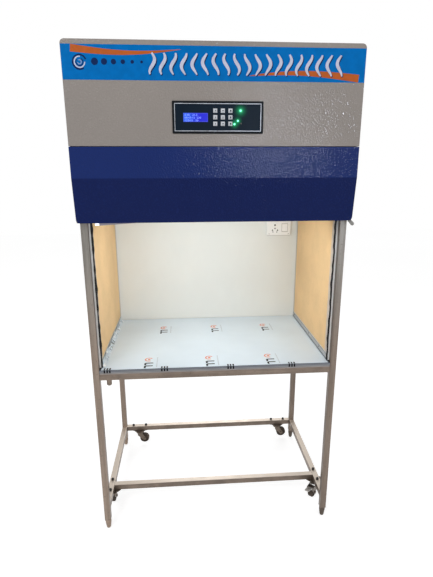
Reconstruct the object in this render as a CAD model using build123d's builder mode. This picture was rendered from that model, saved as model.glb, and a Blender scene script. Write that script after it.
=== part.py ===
from build123d import *
import os
from math import atan2, cos, degrees, hypot, radians, sin

os.makedirs("parts", exist_ok=True)

# Vertical laminar flow cabinet on a square-tube stand. Millimetres, +Z up, the front faces -Y.
# The origin is on the floor, under the middle of the hood.

# ---- stand of square steel tube
stand_width = 963.0  # over the legs
stand_depth = 620.0
stand_y = 20.0  # middle of the stand, set back under the hood
tube = 25.4
tube_wall = 1.6
tube_corner = 2.0
leg_bottom = 48.0
base_top = 116.0
table_under = 700.0
front_rail_setback = 129.5  # of the front base rail, behind the legs' front faces
weld_gap = 0.3  # root gap that keeps the tubes of a welded frame apart
plug_rim = 3.7
plug_depth = 12.0
buffer_inset = 46.8  # of the round buffer under the front table rail, from the left leg's middle
buffer_r = 10.0
buffer_length = 26.0

# ---- levelling feet
foot_height = 44.0
foot_sole_r = 9.0
foot_top_r = 12.5
foot_edge = 5.0
stud_r = 5.0
stud_clearance = 0.3
stud_length = 56.0

# ---- castors
castor_setback = 119.3  # of the front pair, behind the front legs' middles
castor_inset = 81.8  # of the rear pair, from the rear legs' middles
castor_height = 75.6
wheel_d = 50.0
wheel_width = 22.0
hub_r = 7.0
trail = 24.0
fork_gap = 25.0
fork_plate = 2.5
axle_r = 4.0
axle_head_r = 6.5
running = 0.05  # radial running clearance of pins and shafts
play = 0.3  # side play of parts that turn
mount_plate = 60.0
mount_plate_thick = 2.5
race_r = 19.0
race_height = 7.8
crown_r = 21.0
crown_thick = 6.0
king_r = 6.0
bolt_r = 4.0
bolt_pitch = 68.0
bolt_head_r = 6.5
bolt_head = 5.3
bolt_hole_clearance = 0.3
pedal_pivot = (46.0, 68.0)  # along the trail, above the floor
pedal_tip = (88.0, 77.0)
pedal_width = 20.0
pedal_thick = 3.0
pedal_pin_r = 3.0
pedal_travel = 15.0  # degrees

# ---- worktop
worktop_thick = 17.6
worktop_lip = 13.0
lip_reveal = 1.2
side_gap = 0.5  # between the worktop and the legs
film_thick = 0.4
film_inset = 0.6

# ---- chamber walls
sheet_thick = 3.8
channel_wall = 1.0
channel_fit = 0.15
channel_depth = 24.0
rear_channel_depth = 16.0
top_channel_depth = 18.0
skirting_height = 27.0
joint_gap = 0.2
chamber_height = 600.0
gasket_thick = 4.0
back_thick = 2.0
back_overlap = 22.0  # of the back panel behind each rear leg

# ---- socket plate on the back panel
socket_inset = 94.0  # of its middle, from the right-hand wall
socket_drop = 128.5  # of its middle, under the ceiling
socket_width = 121.0
socket_height = 87.0
socket_proud = 10.0
pin_depth = 8.0
rocker_x = 29.5  # of the rocker, right of the plate's middle
rocker_z = -4.7
rocker_width = 27.0
rocker_height = 36.4
rocker_gap = 0.5
rocker_tilt = 5.0  # degrees either way
rocker_pin_r = 1.5

# ---- hood of folded sheet
hood_height = 567.0
hood_lap = 30.0  # how far the hood hangs below the chamber's ceiling
hood_nose = 56.0  # how far its front stands ahead of the legs
hood_overhang = 3.0  # past the legs at the sides and the back
hood_sheet = 1.5
hood_corner = 14.0
apron_corner = 12.0
apron_height = 250.5
apron_lower = 150.0  # height of its lower facet
apron_slope = 18.0  # how far the lower facet leans back
panel_seam = 1.5
flange_depth = 24.0
seam = 0.3
return_width = 12.0
cover_skirt = 2.0  # of the top cover, below its rounded corners
vent_width = 120.0
vent_height = 6.0
vent_pitch_x = 140.0
vent_pitch_y = 22.0
vent_columns = 4
vent_rows = 12

# ---- filters and diffuser inside the hood
tray_thick = 2.0
tray_flange = 60.0
filter_side_gap = 34.0  # inside the legs' outer faces
filter_end_gap = 27.5
filter_seat = 15.0  # width of the tray's ledge under the filter
filter_height = 78.0
filter_frame = 20.0
filter_recess = 6.0
grille_height = 12.0
grille_sheet = 1.2
grille_side_gap = 1.0  # inside the chamber's walls
grille_setback = 14.0  # behind the legs' front faces
slot_length = 150.0
slot_width = 8.0
slot_columns = 5
slot_rows = 12
prefilter_width = 600.0
prefilter_depth = 300.0
prefilter_height = 25.0

# ---- blower
scroll_headroom = 53.7  # between the scroll and the coarse filter
deck_flange = 25.0
blower_y = 40.0
scroll_step = 10.0  # half the side of the square that the scroll's arcs turn about
scroll_r = 108.0
scroll_width = 124.0
scroll_wall = 1.5
outlet_drop = 160.0
inlet_r = 66.0
impeller_r = 90.0
impeller_width = 104.0
blade_count = 24
blade_root_r = 73.0
blade_thick = 1.2
blade_lean = 9.0  # degrees that a blade's tip leads its root
shaft_r = 6.0
hub_width = 30.0
motor_r = 44.0
motor_length = 90.0

# ---- control unit
panel_x = 2.7
panel_drop = 225.5  # of its middle, under the hood's top
bezel_width = 298.0
bezel_height = 100.0
bezel_rim = 9.5
bezel_proud = 2.5
tub_depth = 30.0
tub_wall = 2.0
cutout_gap = 0.5
fascia_thick = 3.0
fascia_fit = 0.3
display_x = -73.2
display_z = 0.0
display_width = 80.0
display_height = 27.0
key_size = 13.0
key_proud = 0.8
key_travel = 1.0
key_gap = 0.3
key_x = -9.1  # of the first column, from the unit's middle
key_z = 20.8
key_pitch_x = 24.8
key_pitch_z = 20.0
lamp_points = ((73.9, 21.1), (65.3, -10.1), (54.1, -20.4), (75.7, -18.5))
lamp_dome_r = 2.6

# ---- LED batten behind the apron
batten_length = 575.0
batten_depth = 24.0
batten_height = 20.0
diffuser_height = 13.7
batten_end_gap = 26.0  # from the left-hand wall
batten_drop = 40.5  # of its lower left corner, under the ceiling
batten_rise = 37.5  # it hangs higher at its right-hand end
batten_shield = 1.5  # of the housing's plate ahead of the diffuser
batten_lit_end = 15.0  # of the diffuser that shows past the shield
strap_width = 20.0
strap_thick = 1.5
strap_offsets = (74.0, 504.0)  # from the batten's left-hand end
strap_rise = 40.0  # up the filter tray's front flange

# ---- catch and cable gland
catch_r = 6.3
catch_neck_r = 6.0
catch_thick = 3.0
catch_reach = 7.0  # of its end, out past the hood's side
catch_lean = 6.5  # of its end, out past its neck
catch_drop = 13.2  # of its end, under the hood's edge
catch_post_width = 8.0
catch_setback = 31.0
gland_inset = 184.5  # from the hood's right-hand side
gland_drop = 180.0  # under the hood's top
gland_bore = 4.0
gland_neck_r = 6.0
gland_length = 25.0

# ---- places that follow from the sizes above
leg_x = (stand_width - tube) / 2
leg_y = (stand_depth - tube) / 2
inner_x = leg_x - tube / 2
inner_y = leg_y - tube / 2
front_face = stand_y - stand_depth / 2
rear_face = stand_y + stand_depth / 2
table_top = table_under + tube
worktop_top = table_top + worktop_thick
ceiling = worktop_top + chamber_height
leg_top = ceiling + grille_height
base_under = base_top - tube
wall_thick = sheet_thick + 2 * (channel_wall + channel_fit)
chamber_half = inner_x - wall_thick
back_face = stand_y + inner_y - back_thick  # front face of the back panel
hood_front = front_face - hood_nose
hood_back = rear_face + hood_overhang
hood_width = stand_width + 2 * hood_overhang
hood_bottom = ceiling - hood_lap
hood_top = hood_bottom + hood_height
hood_half = hood_width / 2
seam_y = hood_front + flange_depth
wrap_front = seam_y + seam
hood_inner = hood_half - hood_sheet
apron_bend = hood_bottom + apron_lower
apron_top = hood_bottom + apron_height
panel_bottom = apron_top + panel_seam
panel_z = hood_top - panel_drop
cover_bottom = hood_top - hood_corner - cover_skirt
tray_front = front_face
tray_back = hood_back - hood_sheet - seam
tray_half = hood_inner - seam
deck_front = wrap_front + hood_sheet + seam
corners = {
    "front_left": (-1, -1),
    "front_right": (1, -1),
    "rear_left": (-1, 1),
    "rear_right": (1, 1),
}


def facing_front(x, y, z):
    """A plane at (x, y, z) that looks out of the front, with its x along +X and its y along +Z."""
    return Plane(origin=(x, y, z), x_dir=(1, 0, 0), z_dir=(0, -1, 0))


def facing_right(x):
    """A plane at x that looks along +X, with its x along +Y and its y along +Z."""
    return Plane(origin=(x, 0, 0), x_dir=(0, 1, 0), z_dir=(1, 0, 0))


def tube_section():
    """Draws the stand's square tube in the sketch that calls it."""
    RectangleRounded(tube, tube, tube_corner)
    Rectangle(tube - 2 * tube_wall, tube - 2 * tube_wall, mode=Mode.SUBTRACT)


def finish(piece, label):
    """Labels a finished piece and writes its STEP file."""
    piece.part.label = label
    export_step(piece.part, f"parts/{label}.step")


# ======== stand ========


def make_leg(label, x, y):
    """A leg with its moulded end plug, which guides the foot's stud."""
    with BuildPart() as leg:
        with BuildSketch(Plane(origin=(x, y, leg_bottom))):
            tube_section()
        extrude(amount=leg_top - leg_bottom)
        with BuildSketch(Plane(origin=(x, y, leg_bottom))):
            Rectangle(tube - 2 * tube_wall, tube - 2 * tube_wall)
        extrude(amount=plug_depth)
        with BuildSketch(Plane(origin=(x, y, leg_bottom - plug_rim))):
            RectangleRounded(tube, tube, tube_corner)
        extrude(amount=plug_rim)
        with BuildSketch(Plane(origin=(x, y, leg_bottom - plug_rim))):
            Circle(stud_r + stud_clearance)
        extrude(amount=plug_rim + plug_depth, mode=Mode.SUBTRACT)
    finish(leg, f"leg_{label}")


def make_foot(label, x, y):
    """A moulded foot with the threaded stud that runs in the leg's plug."""
    with BuildPart() as foot:
        with BuildSketch(facing_front(x, y, 0)):
            with BuildLine():
                Polyline(
                    (0, 0),
                    (foot_sole_r - foot_edge, 0),
                    (foot_sole_r - foot_edge * 0.3, foot_edge * 0.3),
                    (foot_sole_r, foot_edge),
                    (foot_top_r, foot_height * 0.7),
                    (foot_top_r, foot_height),
                    (stud_r, foot_height),
                    (stud_r, foot_height + stud_length),
                    (0, foot_height + stud_length),
                    close=True,
                )
            make_face()
        revolve(axis=Axis((x, y, 0), (0, 0, 1)))
    finish(foot, f"foot_{label}")


for label, (side, end) in corners.items():
    make_leg(label, side * leg_x, stand_y + end * leg_y)
    make_foot(label, side * leg_x, stand_y + end * leg_y)

front_castor_y = stand_y - leg_y + castor_setback
rear_castor_y = stand_y + leg_y
castor_x = leg_x - castor_inset
castor_plan = {
    "front_left": (-leg_x, front_castor_y, 90.0, 90.0),
    "front_right": (leg_x, front_castor_y, 90.0, 228.0),
    "rear_left": (-castor_x, rear_castor_y, 0.0, 0.0),
    "rear_right": (castor_x, rear_castor_y, 0.0, 0.0),
}  # place, direction of the bolt line, heading of the trail

front_rail_y = front_face + front_rail_setback + tube / 2

with BuildPart() as base_frame:
    for side in (-1, 1):
        side_start = (side * leg_x, stand_y - inner_y + weld_gap, base_top - tube / 2)
        with BuildSketch(Plane(origin=side_start, x_dir=(1, 0, 0), z_dir=(0, 1, 0))):
            tube_section()
        extrude(amount=2 * (inner_y - weld_gap))
    for rail_y in (front_rail_y, stand_y + leg_y):
        rail_start = (-inner_x + weld_gap, rail_y, base_top - tube / 2)
        with BuildSketch(Plane(origin=rail_start, x_dir=(0, 1, 0), z_dir=(1, 0, 0))):
            tube_section()
        extrude(amount=2 * (inner_x - weld_gap))
    for x, y, bolt_line, heading in castor_plan.values():
        along = Vector(cos(radians(bolt_line)), sin(radians(bolt_line)), 0)
        for end in (-1, 1):
            bolt_at = Vector(x, y, base_under) + along * (end * bolt_pitch / 2)
            with BuildSketch(Plane(origin=bolt_at)):
                Circle(bolt_r + bolt_hole_clearance)
            extrude(amount=tube, mode=Mode.SUBTRACT)
finish(base_frame, "base_frame")

with BuildPart() as table_frame:
    for side in (-1, 1):
        side_start = (side * leg_x, stand_y - inner_y + weld_gap, table_top - tube / 2)
        with BuildSketch(Plane(origin=side_start, x_dir=(1, 0, 0), z_dir=(0, 1, 0))):
            tube_section()
        extrude(amount=2 * (inner_y - weld_gap))
    for end in (-1, 1):
        rail_start = (-inner_x + weld_gap, stand_y + end * leg_y, table_top - tube / 2)
        with BuildSketch(Plane(origin=rail_start, x_dir=(0, 1, 0), z_dir=(1, 0, 0))):
            tube_section()
        extrude(amount=2 * (inner_x - weld_gap))
    with BuildSketch(Plane(origin=(buffer_inset - leg_x, stand_y - leg_y, table_under))):
        Circle(buffer_r)
    extrude(amount=-buffer_length)
    chamfer(table_frame.faces().sort_by(Axis.Z)[0].edges(), buffer_r * 0.4)
finish(table_frame, "table_frame")

# ======== castors ========

axle_z = base_under - castor_height + wheel_d / 2
race_bottom = base_under - mount_plate_thick - race_height
crown_top = race_bottom - play
crown_bottom = crown_top - crown_thick

with BuildPart() as castor_plates:
    for x, y, bolt_line, heading in castor_plan.values():
        plate_top = Plane(origin=(x, y, base_under), x_dir=Vector(1, 0, 0).rotate(Axis.Z, bolt_line + 45))
        with BuildSketch(plate_top):
            RectangleRounded(mount_plate, mount_plate, mount_plate / 12)
        extrude(amount=-mount_plate_thick)
        with BuildSketch(plate_top.offset(-mount_plate_thick)):
            Circle(race_r)
        extrude(amount=-race_height)
        with BuildSketch(plate_top):
            Circle(king_r)
        extrude(amount=crown_bottom - play - base_under)
        with BuildSketch(Plane(origin=(x, y, crown_bottom - play))):
            Circle(king_r * 1.5)
        extrude(amount=-king_r / 2)
        along = Vector(cos(radians(bolt_line)), sin(radians(bolt_line)), 0)
        for end in (-1, 1):
            bolt_at = Vector(x, y, base_under) + along * (end * bolt_pitch / 2)
            with BuildSketch(Plane(origin=bolt_at - Vector(0, 0, mount_plate_thick))):
                RegularPolygon(bolt_head_r, 6)
            extrude(amount=-bolt_head + mount_plate_thick)
            with BuildSketch(Plane(origin=bolt_at)):
                Circle(bolt_r)
            extrude(amount=tube + bolt_head_r)
            with BuildSketch(Plane(origin=bolt_at + Vector(0, 0, tube))):
                RegularPolygon(bolt_head_r, 6)
            extrude(amount=bolt_head_r)
            with BuildSketch(Plane(origin=bolt_at + Vector(0, 0, tube + bolt_head_r))):
                Circle(bolt_head_r * 0.8)
            extrude(amount=bolt_r * 0.6, taper=30)
finish(castor_plates, "castor_plates")


def make_castor(label, x, y, heading, braked):
    """The fork and wheel of one castor and, on a braked one, its pedal."""
    along = Vector(cos(radians(heading)), sin(radians(heading)), 0)
    across = Vector(-sin(radians(heading)), cos(radians(heading)), 0)

    def side_plane(offset):
        return Plane(origin=Vector(x, y, 0) + across * offset, x_dir=along, z_dir=-across)

    fork_inner = fork_gap / 2
    fork_outer = fork_inner + fork_plate
    with BuildPart() as fork:
        with BuildSketch(Plane(origin=(x, y, crown_bottom))):
            Circle(crown_r)
        extrude(amount=crown_thick)
        for side in (-1, 1):
            with BuildSketch(side_plane(side * (fork_inner + fork_plate / 2))):
                with Locations((0, crown_top - crown_r * 0.6)):
                    Circle(crown_r * 0.6)
                with Locations((trail, axle_z)):
                    Circle(axle_head_r + 2.5)
                if braked:
                    with Locations(pedal_pivot):
                        Circle(pedal_pin_r * 2)
                make_hull()
            extrude(amount=fork_plate / 2, both=True)
        with BuildSketch(side_plane(0)):
            with Locations((trail, axle_z)):
                Circle(axle_r)
        extrude(amount=fork_outer + 1, both=True)
        for side in (-1, 1):
            with BuildSketch(side_plane(side * (fork_outer + axle_r / 2))):
                with Locations((trail, axle_z)):
                    RegularPolygon(axle_head_r, 6)
            extrude(amount=axle_r / 2, both=True)
        if braked:
            with BuildSketch(side_plane(0)):
                with Locations(pedal_pivot):
                    Circle(pedal_pin_r)
            extrude(amount=fork_outer + 1, both=True)
        with BuildSketch(Plane(origin=(x, y, crown_bottom))):
            Circle(king_r + running)
        extrude(amount=crown_thick, mode=Mode.SUBTRACT)
    finish(fork, f"castor_fork_{label}")

    with BuildPart() as wheel:
        with BuildSketch(side_plane(0)):
            with Locations((trail, axle_z)):
                Circle(wheel_d / 2)
        extrude(amount=wheel_width / 2, both=True)
        rims = wheel.edges().filter_by(GeomType.CIRCLE)
        chamfer(rims, wheel_width / 7)
        for side in (-1, 1):
            with BuildSketch(side_plane(side * wheel_width / 2)):
                with Locations((trail, axle_z)):
                    Circle(wheel_d * 0.36)
            extrude(amount=wheel_width / 7, both=True, mode=Mode.SUBTRACT)
        with BuildSketch(side_plane(0)):
            with Locations((trail, axle_z)):
                Circle(hub_r)
        extrude(amount=fork_inner - play, both=True)
        with BuildSketch(side_plane(0)):
            with Locations((trail, axle_z)):
                Circle(axle_r + running)
        extrude(amount=fork_inner, both=True, mode=Mode.SUBTRACT)
    finish(wheel, f"castor_wheel_{label}")

    if braked:
        pivot_x, pivot_z = pedal_pivot
        nose_turn = atan2(axle_z - pivot_z, trail - pivot_x) + radians(pedal_travel)
        nose = pedal_pin_r * 2.4
        arm = hypot(pedal_tip[0] - pivot_x, pedal_tip[1] - pivot_z)
        arm_turn = degrees(atan2(pedal_tip[1] - pivot_z, pedal_tip[0] - pivot_x))
        with BuildPart() as pedal:
            with BuildSketch(side_plane(0)):
                with Locations(pedal_pivot):
                    Circle(pedal_pin_r + 2)
                with Locations((pivot_x + nose * cos(nose_turn), pivot_z + nose * sin(nose_turn))):
                    Circle(2)
                make_hull()
            extrude(amount=fork_inner - play - running, both=True)
            with BuildSketch(side_plane(0)):
                with Locations(Location((pivot_x, pivot_z), arm_turn)):
                    with Locations((arm / 2, pedal_pin_r + 2 - pedal_thick / 2)):
                        Rectangle(arm, pedal_thick)
            extrude(amount=pedal_width / 2, both=True)
            tips = pedal.edges().filter_by(lambda e: abs(e.length - pedal_thick) < 0.01)
            fillet(tips.sort_by(lambda e: -(e.center() - Vector(x, y, pivot_z)).length)[0:2], pedal_width / 3)
            with BuildSketch(side_plane(0)):
                with Locations(pedal_pivot):
                    Circle(pedal_pin_r + running)
            extrude(amount=fork_inner, both=True, mode=Mode.SUBTRACT)
        finish(pedal, f"brake_pedal_{label}")


for label, (x, y, bolt_line, heading) in castor_plan.items():
    make_castor(label, x, y, heading, braked=label.startswith("front"))

# ======== worktop ========

worktop_half = inner_x - side_gap

with BuildPart() as worktop:
    with BuildSketch(Plane.XY.offset(worktop_top)):
        with Locations((0, stand_y)):
            Rectangle(2 * worktop_half, stand_depth)
    extrude(amount=-worktop_lip)
    top_edges = worktop.edges().group_by(Axis.Z)[-1]
    fillet(top_edges, lip_reveal)
    with BuildSketch(Plane.XY.offset(table_top)):
        with Locations((0, stand_y)):
            Rectangle(2 * (worktop_half - lip_reveal), stand_depth - 2 * lip_reveal)
    extrude(amount=worktop_thick - worktop_lip)
finish(worktop, "worktop")

film_front = front_face + 10 * film_inset
film_back = back_face - film_inset

with BuildPart() as worktop_film:
    with BuildSketch(Plane.XY.offset(worktop_top)):
        with Locations((0, (film_front + film_back) / 2)):
            Rectangle(2 * (chamber_half - film_inset), film_back - film_front)
    extrude(amount=film_thick)
finish(worktop_film, "worktop_film")

# ======== chamber walls ========

frame_front = front_face + tube * 0.86
frame_back = back_face
slot_half = sheet_thick / 2 + channel_fit


def make_side(name, side):
    """The four channels round one side wall and the sheet that they hold."""
    middle = side * (chamber_half + wall_thick / 2)
    with BuildPart() as side_frame:
        with BuildSketch(Plane.XY.offset(worktop_top)):
            with Locations((middle, frame_front + channel_depth / 2)):
                Rectangle(wall_thick, channel_depth)
            with Locations((middle, frame_front + channel_wall + channel_depth / 2)):
                Rectangle(2 * slot_half, channel_depth, mode=Mode.SUBTRACT)
            with Locations((middle, frame_back - rear_channel_depth / 2)):
                Rectangle(wall_thick, rear_channel_depth)
            with Locations((middle, frame_back - channel_wall - rear_channel_depth / 2)):
                Rectangle(2 * slot_half, rear_channel_depth, mode=Mode.SUBTRACT)
        extrude(amount=chamber_height)
        run_start = frame_front + channel_depth + joint_gap
        run_length = frame_back - rear_channel_depth - joint_gap - run_start
        with BuildSketch(Plane(origin=(middle, run_start, 0), x_dir=(-1, 0, 0), z_dir=(0, 1, 0))):
            with Locations((0, worktop_top + skirting_height / 2)):
                Rectangle(wall_thick, skirting_height)
            with Locations((0, worktop_top + channel_wall + skirting_height / 2)):
                Rectangle(2 * slot_half, skirting_height, mode=Mode.SUBTRACT)
            with Locations((0, ceiling - top_channel_depth / 2)):
                Rectangle(wall_thick, top_channel_depth)
            with Locations((0, ceiling - channel_wall - top_channel_depth / 2)):
                Rectangle(2 * slot_half, top_channel_depth, mode=Mode.SUBTRACT)
        extrude(amount=run_length)
    finish(side_frame, f"side_frame_{name}")

    sheet_edge = channel_wall + channel_fit
    with BuildPart() as side_sheet:
        with BuildSketch(facing_right(middle - sheet_thick / 2)):
            with Locations(((frame_front + frame_back) / 2, (worktop_top + ceiling) / 2)):
                Rectangle(frame_back - frame_front - 2 * sheet_edge, chamber_height - 2 * sheet_edge)
        extrude(amount=sheet_thick)
    finish(side_sheet, f"side_sheet_{name}")


make_side("left", -1)
make_side("right", 1)

with BuildPart() as front_gaskets:
    for side in (-1, 1):
        with BuildSketch(Plane.XY.offset(worktop_top)):
            with Locations((side * (chamber_half + wall_thick / 2), frame_front - gasket_thick / 2)):
                RectangleRounded(wall_thick, gasket_thick, gasket_thick / 4)
        extrude(amount=chamber_height)
finish(front_gaskets, "front_gaskets")

with BuildPart() as back_panel:
    with BuildSketch(facing_front(0, back_face + back_thick, (worktop_top + ceiling) / 2)):
        Rectangle(2 * (inner_x + back_overlap), chamber_height)
    extrude(amount=back_thick)
finish(back_panel, "back_panel")

# ======== socket ========

socket_face = back_face - socket_proud
socket_x = chamber_half - socket_inset
socket_z = ceiling - socket_drop
pin_holes = (
    (-19.8, 8.4, 4.3),
    (-19.3, -8.0, 3.5),
    (-31.7, -16.9, 3.5),
    (-29.4, -25.4, 2.6),
    (-6.4, -17.2, 3.5),
    (-10.2, -25.7, 2.6),
)  # across and up from the plate's middle, radius
rocker_axis = (socket_x + rocker_x, socket_face + 3, socket_z + rocker_z)

with BuildPart() as socket_plate:
    with BuildSketch(facing_front(socket_x, back_face, socket_z)):
        RectangleRounded(socket_width, socket_height, 5)
    extrude(amount=socket_proud)
    fillet(socket_plate.faces().sort_by(Axis.Y)[0].edges(), 2)
    for across, up, radius in pin_holes:
        with BuildSketch(facing_front(socket_x + across, socket_face, socket_z + up)):
            Circle(radius)
        extrude(amount=-pin_depth, mode=Mode.SUBTRACT)
    with BuildSketch(facing_front(rocker_axis[0], socket_face, rocker_axis[2])):
        Rectangle(rocker_width + 2 * rocker_gap, rocker_height + 2 * rocker_gap)
    extrude(amount=-socket_proud + 1, mode=Mode.SUBTRACT)
    with BuildSketch(facing_right(rocker_axis[0])):
        with Locations((rocker_axis[1], rocker_axis[2])):
            Circle(rocker_pin_r)
    extrude(amount=rocker_width / 2 + 2 * rocker_gap, both=True)
finish(socket_plate, "socket_plate")

rocker_plane = Plane(
    origin=(rocker_axis[0] - rocker_width / 2, rocker_axis[1], rocker_axis[2]),
    x_dir=Vector(0, 1, 0).rotate(Axis.X, -rocker_tilt),
    z_dir=(1, 0, 0),
)

with BuildPart() as socket_rocker:
    with BuildSketch(rocker_plane):
        with BuildLine():
            front_points = Polyline(
                (2.4, rocker_height / 2),
                (-5, rocker_height / 2),
                (-3.4, 0),
                (-5, -rocker_height / 2),
                (2.4, -rocker_height / 2),
            )
            Line(front_points @ 1, front_points @ 0)
        make_face()
    extrude(amount=rocker_width)
    with BuildSketch(facing_right(rocker_axis[0])):
        with Locations((rocker_axis[1], rocker_axis[2])):
            Circle(rocker_pin_r + running)
    extrude(amount=rocker_width, both=True, mode=Mode.SUBTRACT)
finish(socket_rocker, "socket_rocker")

# ======== hood ========


def hood_outline(y, bottom, inset=0.0):
    """The hood's front outline above a height, with its rounded upper corners, as a sketch at y."""
    top = hood_top - inset
    half = hood_half - inset
    bend = hood_corner - inset
    with BuildSketch(facing_front(0, y, 0)) as outline:
        with BuildLine():
            Line((-half, bottom), (half, bottom))
            Line((half, bottom), (half, top - bend))
            CenterArc((half - bend, top - bend), bend, 0, 90)
            Line((half - bend, top), (bend - half, top))
            CenterArc((bend - half, top - bend), bend, 90, 90)
            Line((-half, top - bend), (-half, bottom))
        make_face()
    return outline.sketch


with BuildPart() as hood_front_panel:
    extrude(hood_outline(seam_y, panel_bottom), amount=flange_depth)
    pan_inside = hood_outline(seam_y, panel_bottom + hood_sheet, inset=hood_sheet)
    extrude(pan_inside, amount=flange_depth - hood_sheet, mode=Mode.SUBTRACT)
    fillet(hood_front_panel.faces().sort_by(Axis.Y)[0].edges(), hood_sheet)
    with BuildSketch(facing_front(panel_x, seam_y, panel_z)):
        Rectangle(bezel_width - bezel_rim + cutout_gap * 2, bezel_height - bezel_rim + cutout_gap * 2)
    extrude(amount=flange_depth, mode=Mode.SUBTRACT)
finish(hood_front_panel, "hood_front_panel")

with BuildPart() as hood_apron:
    with BuildSketch(facing_right(-hood_half)):
        with BuildLine():
            Polyline(
                (hood_front, apron_top),
                (hood_front, apron_bend),
                (hood_front + apron_slope, hood_bottom),
                (seam_y, hood_bottom),
                (seam_y, apron_top),
                close=True,
            )
        make_face()
    extrude(amount=hood_width)
    with BuildSketch(facing_right(-hood_inner)):
        with BuildLine():
            Polyline(
                (hood_front + hood_sheet, apron_top - hood_sheet),
                (hood_front + hood_sheet, apron_bend),
                (hood_front + apron_slope + hood_sheet, hood_bottom + hood_sheet),
                (seam_y, hood_bottom + hood_sheet),
                (seam_y, apron_top - hood_sheet),
                close=True,
            )
        make_face()
    extrude(amount=2 * hood_inner, mode=Mode.SUBTRACT)
    with BuildSketch(facing_front(0, seam_y, 0)) as apron_outline:
        with Locations((0, (apron_top + hood_bottom) / 2)):
            Rectangle(hood_width, apron_top - hood_bottom)
        fillet(apron_outline.vertices().group_by(Axis.Y)[0], apron_corner)
    extrude(amount=flange_depth, mode=Mode.INTERSECT)
finish(hood_apron, "hood_apron")

wrap_depth = hood_back - wrap_front
gland_x = hood_half - gland_inset
gland_z = hood_top - gland_drop

with BuildPart() as hood_wrap:
    with BuildSketch(Plane.XY.offset(hood_bottom)):
        with Locations((0, wrap_front + wrap_depth / 2)):
            Rectangle(hood_width, wrap_depth)
            Rectangle(2 * hood_inner, wrap_depth - 2 * hood_sheet, mode=Mode.SUBTRACT)
        with Locations((0, wrap_front)):
            Rectangle(2 * (hood_half - return_width), 2 * hood_sheet, mode=Mode.SUBTRACT)
    extrude(amount=cover_bottom - seam - hood_bottom)
    with BuildSketch(facing_front(gland_x, hood_back, gland_z)):
        Circle(gland_neck_r + stud_clearance)
    extrude(amount=hood_sheet, mode=Mode.SUBTRACT)
finish(hood_wrap, "hood_wrap")

with BuildPart() as hood_top_cover:
    extrude(hood_outline(hood_back, cover_bottom), amount=hood_back - wrap_front)
    cover_inside = hood_outline(hood_back - hood_sheet, cover_bottom, inset=hood_sheet)
    extrude(cover_inside, amount=hood_back - wrap_front, mode=Mode.SUBTRACT)
    with BuildSketch(Plane.XY.offset(hood_top)):
        with GridLocations(vent_pitch_x, vent_pitch_y, vent_columns, vent_rows):
            Rectangle(vent_width, vent_height)
    extrude(amount=-hood_sheet, mode=Mode.SUBTRACT)
finish(hood_top_cover, "hood_top_cover")

with BuildPart() as hood_catch:
    catch_plane = facing_front(hood_half, hood_front + catch_setback, hood_bottom)
    neck_z = -seam - catch_neck_r
    with BuildSketch(catch_plane):
        with Locations((catch_reach, -catch_drop)):
            Circle(catch_r)
        with Locations((catch_reach - catch_lean, neck_z)):
            Circle(catch_neck_r)
        make_hull()
    extrude(amount=catch_thick)
    with BuildSketch(catch_plane):
        with Locations((-hood_sheet - seam, neck_z)):
            Rectangle(catch_post_width, catch_drop - neck_z, align=(Align.MAX, Align.MIN))
    extrude(amount=catch_thick)
finish(hood_catch, "hood_catch")

with BuildPart() as cable_gland:
    with BuildSketch(Plane(origin=(gland_x, hood_back - hood_sheet, gland_z), x_dir=(1, 0, 0), z_dir=(0, 1, 0))):
        RegularPolygon(gland_neck_r * 1.7, 6)
    extrude(amount=-gland_length / 5)
    with BuildSketch(Plane(origin=(gland_x, hood_back - hood_sheet, gland_z), x_dir=(1, 0, 0), z_dir=(0, 1, 0))):
        Circle(gland_neck_r)
    extrude(amount=hood_sheet)
    with BuildSketch(Plane(origin=(gland_x, hood_back, gland_z), x_dir=(1, 0, 0), z_dir=(0, 1, 0))):
        RegularPolygon(gland_neck_r * 1.7, 6)
    extrude(amount=gland_length / 5)
    with BuildSketch(Plane(origin=(gland_x, hood_back + gland_length / 5, gland_z), x_dir=(1, 0, 0), z_dir=(0, 1, 0))):
        Circle(gland_neck_r * 1.45)
    extrude(amount=gland_length * 0.4, taper=6)
    with BuildSketch(
        Plane(origin=(gland_x, hood_back - gland_length, gland_z), x_dir=(1, 0, 0), z_dir=(0, 1, 0))
    ):
        Circle(gland_bore)
    extrude(amount=2 * gland_length, mode=Mode.SUBTRACT)
finish(cable_gland, "cable_gland")

# ======== filters and diffuser ========

filter_width = stand_width - 2 * filter_side_gap
filter_depth = stand_depth - 2 * filter_end_gap

with BuildPart() as filter_tray:
    tray_middle = (tray_front + tray_back) / 2
    tray_depth = tray_back - tray_front
    with BuildSketch(Plane.XY.offset(leg_top)):
        with Locations((0, tray_middle)):
            Rectangle(2 * tray_half, tray_depth)
    extrude(amount=tray_flange)
    with BuildSketch(Plane.XY.offset(leg_top + tray_thick)):
        with Locations((0, tray_middle)):
            Rectangle(2 * (tray_half - tray_thick), tray_depth - 2 * tray_thick)
    extrude(amount=tray_flange, mode=Mode.SUBTRACT)
    with BuildSketch(Plane.XY.offset(leg_top)):
        with Locations((0, stand_y)):
            Rectangle(filter_width - 2 * filter_seat, filter_depth - 2 * filter_seat)
    extrude(amount=tray_thick, mode=Mode.SUBTRACT)
finish(filter_tray, "filter_tray")

with BuildPart() as hepa_filter:
    filter_bottom = leg_top + tray_thick
    with BuildSketch(Plane.XY.offset(filter_bottom)):
        with Locations((0, stand_y)):
            Rectangle(filter_width, filter_depth)
    extrude(amount=filter_height)
    for depth in (filter_bottom, filter_bottom + filter_height - filter_recess):
        with BuildSketch(Plane.XY.offset(depth)):
            with Locations((0, stand_y)):
                Rectangle(filter_width - 2 * filter_frame, filter_depth - 2 * filter_frame)
        extrude(amount=filter_recess, mode=Mode.SUBTRACT)
finish(hepa_filter, "hepa_filter")

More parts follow.
